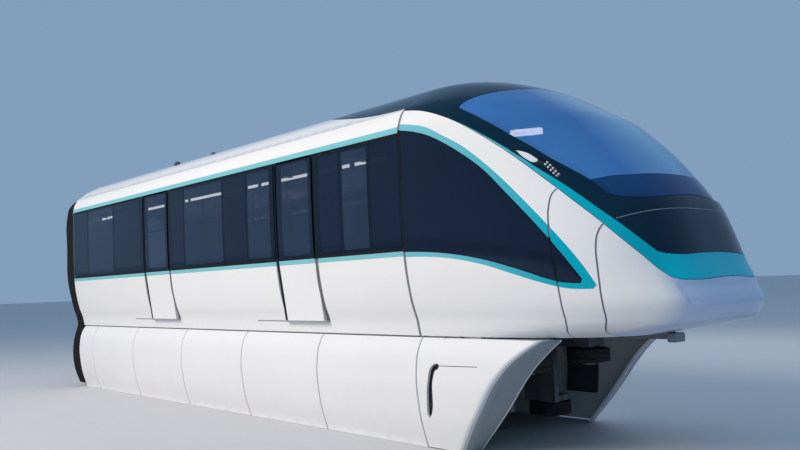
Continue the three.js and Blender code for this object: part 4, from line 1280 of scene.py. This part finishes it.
def wheelset(end, x):
    place = (f"wheelset_{end}", f"wheels_{end}", (x, 0, LOAD_RADIUS), "y")
    for name, side in SIDES.items():
        tyre = tread_profile(*LOAD_TYRE_Y, LOAD_RADIUS, rim=0.3, shoulder=0.028, grooves=4)
        tyre, rim = [[(r, side * y) for r, y in profile] for profile in (tyre, WHEEL_RIM)]
        parts = [(f"load_tyre_{end}_{name}", tyre, "tyre"), (f"wheel_rim_{end}_{name}", rim, "bogie")]
        turned_parts(*place, parts, 64)
    turned_parts(*place, [(f"axle_{end}", AXLE, "steel")], 32)


def guide_wheel(node, centre):
    tyre = tread_profile(-GUIDE_HALF, GUIDE_HALF, GUIDE_RADIUS, rim=0.18, shoulder=0.018, grooves=2)
    hub = [(r, -along) for r, along in HALF_HUB] + HALF_HUB[::-1]
    parts = [(f"{node}_tyre", tyre, "tyre"), (f"{node}_hub", hub, "bogie")]
    turned_parts(node, node, centre, "z", parts, 48)


def running_gear():
    for joint in frame["joints"]:
        child, place = joint["child"], joint["pos_m"]
        if child.startswith("guide_"):
            guide_wheel(child, place)
        elif child.startswith("wheels_"):
            wheelset(child.split("_")[1], place[0])
        else:
            dress(f"bogie_frame_{child.split('_')[1]}", "bogie", bevel=0.004)


# Inside

COVERING_FOOT = 0.2405
COVERING = 0.006  # thickness of the floor covering
FLOOR = COVERING_FOOT + COVERING
WHEEL_BOX = (0.72, 0.58)  # half length and half width of the holes for the boxes over the wheels
SALOON_END = 3.55  # where floor and ceiling meet the partition
FLOOR_HALF, LINING_HALF = 1.29, 1.36
CAB_FLOOR = [(3.61, -1.28), (5.7, -1.2), (6.6, -0.75), (6.6, 0.75), (5.7, 1.2), (3.61, 1.28)]
CEILING_LINE = smooth_rows([(0, 2.87), (0.45, 2.86), (0.9, 2.83), (1.25, 2.77), (1.37, 2.72)], 6).T  # y, z
LINED = [(WALL_START + 0.05, -2.75), (-1.61, 1.46), (2.55, 3.54)]
LINED_Z = {"lower": (0.26, 1.07), "upper": (2.46, 2.69)}
CAB_LIGHT = [(CAB + 0.892, -0.6, 2.36), (CAB + 1.322, -0.6, 2.32)]
RAILS_X = (-5.92, 3.45)
LIGHT_LINE = (0.95, 2.31)  # y and z of the light rails
LIGHT_JOINTS = [-4.3, -2.0, 0.3, 2.6]
GRAB_LINE = (0.62, 1.95)  # y and z of the grab rails
HANGERS, HANGER_PITCH = 6, 1.7
HANGER_TOP = 2.845
POLE_Y, POLE_TOP = 0.76, 2.835
BENCH_X = (-1.45, 1.3)
# Sections of a bench: y, z
BENCH_BASE = [(1.21, FLOOR), (1.21, 0.652), (0.775, 0.652), (0.775, 0.635), (0.87, 0.615), (0.87, FLOOR)]
BENCH_SHELL = [(1.236, 0.63), (1.236, 1.19), (1.222, 1.198), (1.212, 1.19), (1.21, 0.66), (1.18, 0.653),
               (1.18, 0.63)]
BENCH_ARM = [(0.8, 0.655), (1.17, 0.655), (1.17, 0.93), (1.14, 0.95), (0.86, 0.92), (0.8, 0.86)]
ARM_HALF = 0.008
SEATS = 5
SEAT_LINE, BACK_LINE = (0.985, 0.692), (1.189, 0.96)  # y and z of the cushions' middles
SEAT_SIZE, BACK_SIZE = (0.385, 0.07), (0.035, 0.41)  # of a cushion: across the car, upwards
SEAT_GAP = 0.045  # between cushions
SQUARENESS = 7  # of a cushion's outline
SWELLING = 0.012  # the furthest that a cushion's points move
BENCH_CELL, DRIVER_CELL = 0.012, 0.008  # mesh size of a cushion
# The driver's place in side view, ahead of the cab joint: x, z
DRIVER_X = 1.42
SEAT_PLACE, BACK_PLACE = (1.495, 0.73), (1.25, 1.07)
DRIVER_SEAT_SIZE, DRIVER_BACK_SIZE = (0.41, 0.46, 0.075), (0.075, 0.43, 0.62)
PAN_HALF, SHELL_HALF = 0.24, 0.22
BACK_LEAN = math.radians(-6.05)
DRIVER_PAN = [(1.25, 0.635), (1.68, 0.652), (1.7, 0.67), (1.68, 0.69), (1.24, 0.68)]
DRIVER_SHELL = [(1.222, 0.68), (1.245, 0.68), (1.177, 1.375), (1.165, 1.385), (1.155, 1.375), (1.195, 0.8)]
DESK_SCREEN = [(2.075, 1.2563), (2.225, 1.3537), (2.2185, 1.364), (2.0685, 1.2664)]
# Half sections of the driver's place: radius, up
SEAT_FOOT = [(0, 0), (0.17, 0), (0.175, 0.01), (0.16, 0.025), (0.06, 0.04), (0.055, 0.06), (0, 0.06)]
BUTTON = [(0, 0), (0.012, 0), (0.012, 0.012), (0.009, 0.015), (0, 0.015)]
COLUMN_FOLDS = 8
BUTTONS, BUTTON_PITCH = 8, 0.12
BUTTON_LINE = (CAB + 1.95, -0.42, 1.209)  # place of the first one
DESK_SCREENS = [(-0.5, -0.14), (-0.1, 0.1), (0.14, 0.5)]  # y


def flat(z):
    return lambda uv: np.column_stack([uv, np.full(len(uv), z)])


def tube(name, points, radius, finish):
    """A round bar through the points, with bends where they turn."""
    path = curve(points, 0.06)
    up = (0, 0, 1) if abs(path[0, 2] - path[-1, 2]) < 0.5 else (1, 0, 0)
    return sweep(name, path, up, ring_profile(radius), finish)


def on_ceiling(uv):
    return np.stack([uv[:, 0], uv[:, 1], np.interp(np.abs(uv[:, 1]), *CEILING_LINE)], -1)


def floor_and_ceiling():
    half_x, half_y = WHEEL_BOX
    saloon = rectangle((WALL_START, SALOON_END), (-FLOOR_HALF, FLOOR_HALF), step=0.3)
    cab = rounded(CAB_FLOOR, 0.1, 0.3)
    for name, outline, axle in (("saloon_floor", saloon, -AXLE_X), ("cab_floor", cab, AXLE_X)):
        box = rectangle((axle - half_x, axle + half_x), (-half_y, half_y), 0.02, 0.3)
        panel(name, shape(outline, [box]), flat(COVERING_FOOT), ["floor_vinyl"], thick=COVERING, step=0.4)
    lamp = np.linspace(*CAB_LIGHT, 3)
    glow = [(-0.03, 0), (0.03, 0), (0.03, 0.07), (-0.03, 0.07)]
    cover = [(-0.04, 0.071), (0.04, 0.071), (0.03, 0.1), (-0.03, 0.1)]
    sweep("cab_light", lamp, (0, 0, 1), glow, "cab_light")
    sweep("cab_light_housing", lamp, (0, 0, 1), cover, "trim_dark")
    tube("cab_light_stem", [lamp[1] + [0, 0, 0.09], lamp[1] + [0, 0, 0.45]], 0.01, "trim_dark")
    lining = rectangle((WALL_START, SALOON_END), (-LINING_HALF, LINING_HALF), step=0.1)
    panel("ceiling_lining", shape(lining), on_ceiling, ["trim"], thick=0.012, step=0.15)


def saloon_inside(name, side):
    """Wall lining, light rail, grab rail and poles on one side."""
    wall = on_side(side)
    start, end = RAILS_X

    def bar(part, x, out, up, finish):
        """A bar at the light rail: how far it reaches outwards and upwards from the rail's line."""
        y, z = LIGHT_LINE
        across = sorted(side * (y + reach) for reach in out)
        block(f"{part}_{name}", x, across, [z + reach for reach in up], finish)

    def upright(part, x, y, foot, top, radius, finish):
        tube(f"{part}_{name}", [(x, side * y, foot), (x, side * y, top)], radius, finish)

    for k, ends in enumerate(LINED):
        for part, heights in LINED_Z.items():
            lining = shape(rectangle(ends, heights, 0.01, 0.1))
            panel(f"lining_{part}_{k}_{name}", lining, wall, ["trim"], thick=0.014, sunk=0.042, step=0.2)
    bar("light_rail", RAILS_X, (-0.03, 0.045), (-0.004, 0.055), "trim_dark")
    joints = [start - 0.04, *LIGHT_JOINTS, end + 0.04]
    for k, (first, last) in enumerate(zip(joints, joints[1:])):
        bar(f"light_strip_{k}", (first + 0.06, last - 0.06), (0.0452, 0.06), (0, 0.045), "ceiling_light")
    y, z = GRAB_LINE
    for k in range(HANGERS):
        x = start + 0.3 + HANGER_PITCH * k
        bar(f"light_bracket_{k}", (x, x + 0.04), (0.06, 0.55), (0.02, 0.045), "trim")
        upright(f"rail_hanger_{k}", x, y, z, HANGER_TOP, 0.012, "trim_dark")
    tube(f"grab_rail_{name}", [(x, side * y, z) for x in RAILS_X], 0.016, "trim_dark")
    for k, x in enumerate((BENCH_X[0] - 0.06, BENCH_X[1] + 0.06)):
        upright(f"pole_{k}", x, POLE_Y, FLOOR, POLE_TOP, 0.018, "pole_steel")


def pad(name, size, voxel):
    """A stuffed cushion about the origin: a closed crowned form, swelled as cloth, with a piped seam."""
    half = np.array(size) / 2
    thin = int(np.argmin(half))
    rings, turns = 12, 64
    angles = np.arange(turns) * 2 * math.pi / turns
    c, s = np.cos(angles), np.sin(angles)
    corner = (np.abs(c) ** SQUARENESS + np.abs(s) ** SQUARENESS) ** (-1 / SQUARENESS)
    wide = list(zip([k for k in range(3) if k != thin], (c, s)))
    pulled = 1 - 0.022 * np.cos(2 * angles) ** 4
    points = []
    for k in range(1, rings):
        lean = math.pi * k / rings - math.pi / 2
        share = abs(math.cos(lean)) ** 0.35
        belt = np.zeros((turns, 3))
        for way, turn in wide:
            belt[:, way] = half[way] * turn * corner * pulled * share
        belt[:, thin] = half[thin] * math.copysign(abs(math.sin(lean)) ** 0.8, lean)
        points.append(belt)
    tips = np.zeros((2, 3))
    tips[:, thin] = -half[thin], half[thin]
    points = np.vstack([*points, tips])
    last = len(points)
    faces = between(rings - 1, turns)
    faces += [[last - 2, (k + 1) % turns, k] for k in range(turns)]
    top = turns * (rings - 2)
    faces += [[last - 1, top + k, top + (k + 1) % turns] for k in range(turns)]
    piece = outward_faces(add_object(name, points, faces, ["seat_cloth"]))
    swell(piece, voxel)
    rim = np.zeros((turns, 3))
    for way, turn in wide:
        rim[:, way] = half[way] * turn * corner * 1.05
    path = np.array([piece.closest_point_on_mesh(point)[1][:] for point in rim])
    up = np.zeros(3)
    up[thin] = 1
    piping = sweep(f"{name}_piping", path, up, ring_profile(0.004, 6), "trim_dark", closed=True)
    return piece, piping


def swell(piece, voxel):
    """Blows a cushion up as cloth under pressure."""
    grid = piece.modifiers.new("even mesh", "REMESH")
    grid.mode = "VOXEL"
    grid.voxel_size = voxel
    start = settled(piece)
    cloth = piece.modifiers.new("cloth", "CLOTH")
    cloth.settings.use_pressure = True
    cloth.settings.uniform_pressure_force = 4
    cloth.settings.effector_weights.gravity = 0
    for moment in range(1, 21):
        bpy.context.scene.frame_set(moment)
    end = settled(piece)
    bpy.context.scene.frame_set(1)
    way = end - start
    length = np.linalg.norm(way, axis=1, keepdims=True)
    held = start + way * np.minimum(SWELLING / np.maximum(length, 1e-9), 1)
    piece.data.vertices.foreach_set("co", held.ravel())
    piece.data.update()


def settled(piece):
    """Applies what the modifiers have made of a piece, and gives its points."""
    shaped = piece.evaluated_get(bpy.context.evaluated_depsgraph_get())
    mesh = bpy.data.meshes.new_from_object(shaped)
    piece.modifiers.clear()
    piece.data = mesh
    mesh.polygons.foreach_set("use_smooth", np.ones(len(mesh.polygons), bool))
    points = np.empty(len(mesh.vertices) * 3)
    mesh.vertices.foreach_get("co", points)
    return points.reshape(-1, 3)


def set_down(pieces, name, place, turn, node):
    """A cushion with its piping put in its place on a seat."""
    for piece, kind in zip(pieces, ("cushion", "piping")):
        copy = piece.copy()
        copy.name = f"{name}_{kind}"
        copy.matrix_world = Matrix.Translation(place) @ Matrix.Rotation(turn, 4, "Y")
        bpy.context.scene.collection.objects.link(copy)
        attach(copy, "car")
        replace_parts(copy, node)


def benches():
    """On each side a row of seats under the middle windows."""
    pitch = (BENCH_X[1] - BENCH_X[0]) / SEATS
    seat = pad("bench_seat", (pitch - SEAT_GAP, *SEAT_SIZE), BENCH_CELL)
    back = pad("bench_back", (pitch - SEAT_GAP, *BACK_SIZE), BENCH_CELL)
    for name, side in SIDES.items():
        node = f"bench_{name}"
        sections = (BENCH_BASE, BENCH_SHELL, BENCH_ARM)
        base, shell, arm = [[(side * y, z) for y, z in line] for line in sections]
        made = [prism(f"bench_base_{name}", base, "x", BENCH_X, "trim", bevel=0.006),
                prism(f"bench_shell_{name}", shell, "x", BENCH_X, "trim", bevel=0.006)]
        for k, x in enumerate((BENCH_X[0] + ARM_HALF, BENCH_X[1] - ARM_HALF)):
            ends = (x - ARM_HALF, x + ARM_HALF)
            made.append(prism(f"bench_arm_{k}_{name}", arm, "x", ends, "trim_dark", bevel=0.005))
        for piece in made:
            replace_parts(piece, node)
        for k in range(SEATS):
            x = BENCH_X[0] + pitch * (k + 0.5)
            for part, pieces, (y, z) in (("seat", seat, SEAT_LINE), ("back", back, BACK_LINE)):
                set_down(pieces, f"bench_{part}_{k}_{name}", (x, side * y, z), 0, node)
    return [*seat, *back]


def driver_place():
    """The driver's seat on its column, and the instruments on the desk."""
    middle = CAB + DRIVER_X
    sections = (DRIVER_PAN, DRIVER_SHELL, DESK_SCREEN)
    pan, shell, screen = [[(CAB + x, z) for x, z in line] for line in sections]
    pleats = []
    for k in range(COLUMN_FOLDS):
        pleats += [(0.05, 0.02 * k), (0.062, 0.02 * k + 0.01)]
    column = [(0, 0), *pleats, (0.05, 0.33), (0, 0.33)]
    made = [lathe("driver_seat_foot", SEAT_FOOT, (middle, 0, FLOOR), "z", "trim_dark", turns=40),
            lathe("driver_seat_column", column, (middle, 0, FLOOR + 0.06), "z", "bellows", turns=40),
            prism("driver_seat_pan", pan, "y", (-PAN_HALF, PAN_HALF), "trim_dark", bevel=0.008),
            prism("driver_seat_shell", shell, "y", (-SHELL_HALF, SHELL_HALF), "trim_dark", bevel=0.008)]
    for piece in made:
        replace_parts(piece, "driver_seat")
    seat = pad("driver_seat_pad", DRIVER_SEAT_SIZE, DRIVER_CELL)
    rest = pad("driver_back_pad", DRIVER_BACK_SIZE, DRIVER_CELL)
    set_down(seat, "driver_seat_seat", (CAB + SEAT_PLACE[0], 0, SEAT_PLACE[1]), 0, "driver_seat")
    set_down(rest, "driver_seat_back", (CAB + BACK_PLACE[0], 0, BACK_PLACE[1]), BACK_LEAN, "driver_seat")
    dress("driver_desk", "trim_dark", bevel=0.01)
    for k, ends in enumerate(DESK_SCREENS):
        prism(f"desk_screen_{k}", screen, "y", ends, "screen_low", bevel=0.003)
    x, y, z = BUTTON_LINE
    for k in range(BUTTONS):
        lathe(f"desk_button_{k}", BUTTON, (x, y + BUTTON_PITCH * k, z), "z", "steel", turns=16)
    return [*seat, *rest]


cab_shell()
cab_front()
headlamps()
for side_name, side_sign in SIDES.items():
    saloon_side(side_name, side_sign)
    skirts(side_name, side_sign)
    saloon_inside(side_name, side_sign)
roof()
bellows()
running_gear()
floor_and_ceiling()
for pattern in [*benches(), *driver_place()]:
    bpy.data.objects.remove(pattern)
dress("underframe", "chassis")
prism("coupler_face", rounded(COUPLER_FACE, 0.02), "x", COUPLER_X, "coupler_grey", bevel=0.006)
dress("rear_frame", "frame_white", bevel=0.006)
dress("cab_partition", "trim", bevel=0.006)
for end_name in DOORS:
    dress(f"wheel_box_{end_name}", "trim", bevel=0.012)

# Stage, light and camera

SKY_TONE = (0.45, 0.69, 1.0)
SKY_STRENGTH = 0.5
PHOTO_WIDTH = 800  # pixels
FOCAL_LENGTH = 780  # pixels
FILM_WIDTH = 36  # millimetres
CAMERA_PLACE = (10.728, -7.712, 0.673)
CAMERA_RIGHT = (0.67855, 0.73366, -0.03624)
CAMERA_UP = (0.08143, -0.02609, 0.99634)
CAMERA_BACK = (0.73003, -0.67902, -0.07744)
LIGHTS = {  # place, size, power and colour
    "key": ((-2, -16, 13), (16, 8), 3850, (1.0, 0.865, 0.735)),
    "far_rim": ((0, 15, 10), (14, 6), 500, (0.95, 0.97, 1.0)),
}


def stage():
    mesh = bpy.data.meshes.new("studio_floor")
    form = bmesh.new()
    bmesh.ops.create_grid(form, x_segments=1, y_segments=1, size=400)
    form.to_mesh(mesh)
    form.free()
    floor = bpy.data.objects.new("studio_floor", mesh)
    floor.location = (0, 0, SKIRT_FOOT)
    mesh.materials.append(FINISHES["studio_floor"])
    bpy.context.scene.collection.objects.link(floor)


def area_light(name, place, size, power, color):
    """A soft lamp that looks at the car's middle."""
    light = bpy.data.lights.new(name, "AREA")
    light.shape = "RECTANGLE"
    light.size, light.size_y = size
    light.energy = power
    light.color = color
    piece = bpy.data.objects.new(name, light)
    piece.location = place
    piece.rotation_euler = (Vector((0, 0, 1)) - Vector(place)).to_track_quat("-Z", "Y").to_euler()
    piece.visible_glossy = False
    bpy.context.scene.collection.objects.link(piece)


def photo_camera():
    data = bpy.data.cameras.new("photo_camera")
    data.sensor_width = FILM_WIDTH
    data.lens = FILM_WIDTH * FOCAL_LENGTH / PHOTO_WIDTH
    data.clip_end = 1000
    camera = bpy.data.objects.new("photo_camera", data)
    turn = Matrix((CAMERA_RIGHT, CAMERA_UP, CAMERA_BACK)).transposed().to_4x4()
    camera.matrix_world = Matrix.Translation(CAMERA_PLACE) @ turn
    bpy.context.scene.collection.objects.link(camera)
    bpy.context.scene.camera = camera


painted("studio_floor", "body_white", (0.6, 0.61, 0.63), rough=0.8, coat=0.0, dust_share=0.0)
stage()
for light_name, values in LIGHTS.items():
    area_light(light_name, *values)
world = bpy.data.worlds.new("studio")
world.use_nodes = True
sky = world.node_tree.nodes["Background"].inputs
sky["Color"].default_value = (*SKY_TONE, 1)
sky["Strength"].default_value = SKY_STRENGTH
bpy.context.scene.world = world
bpy.context.scene.view_settings.view_transform = "Standard"
photo_camera()
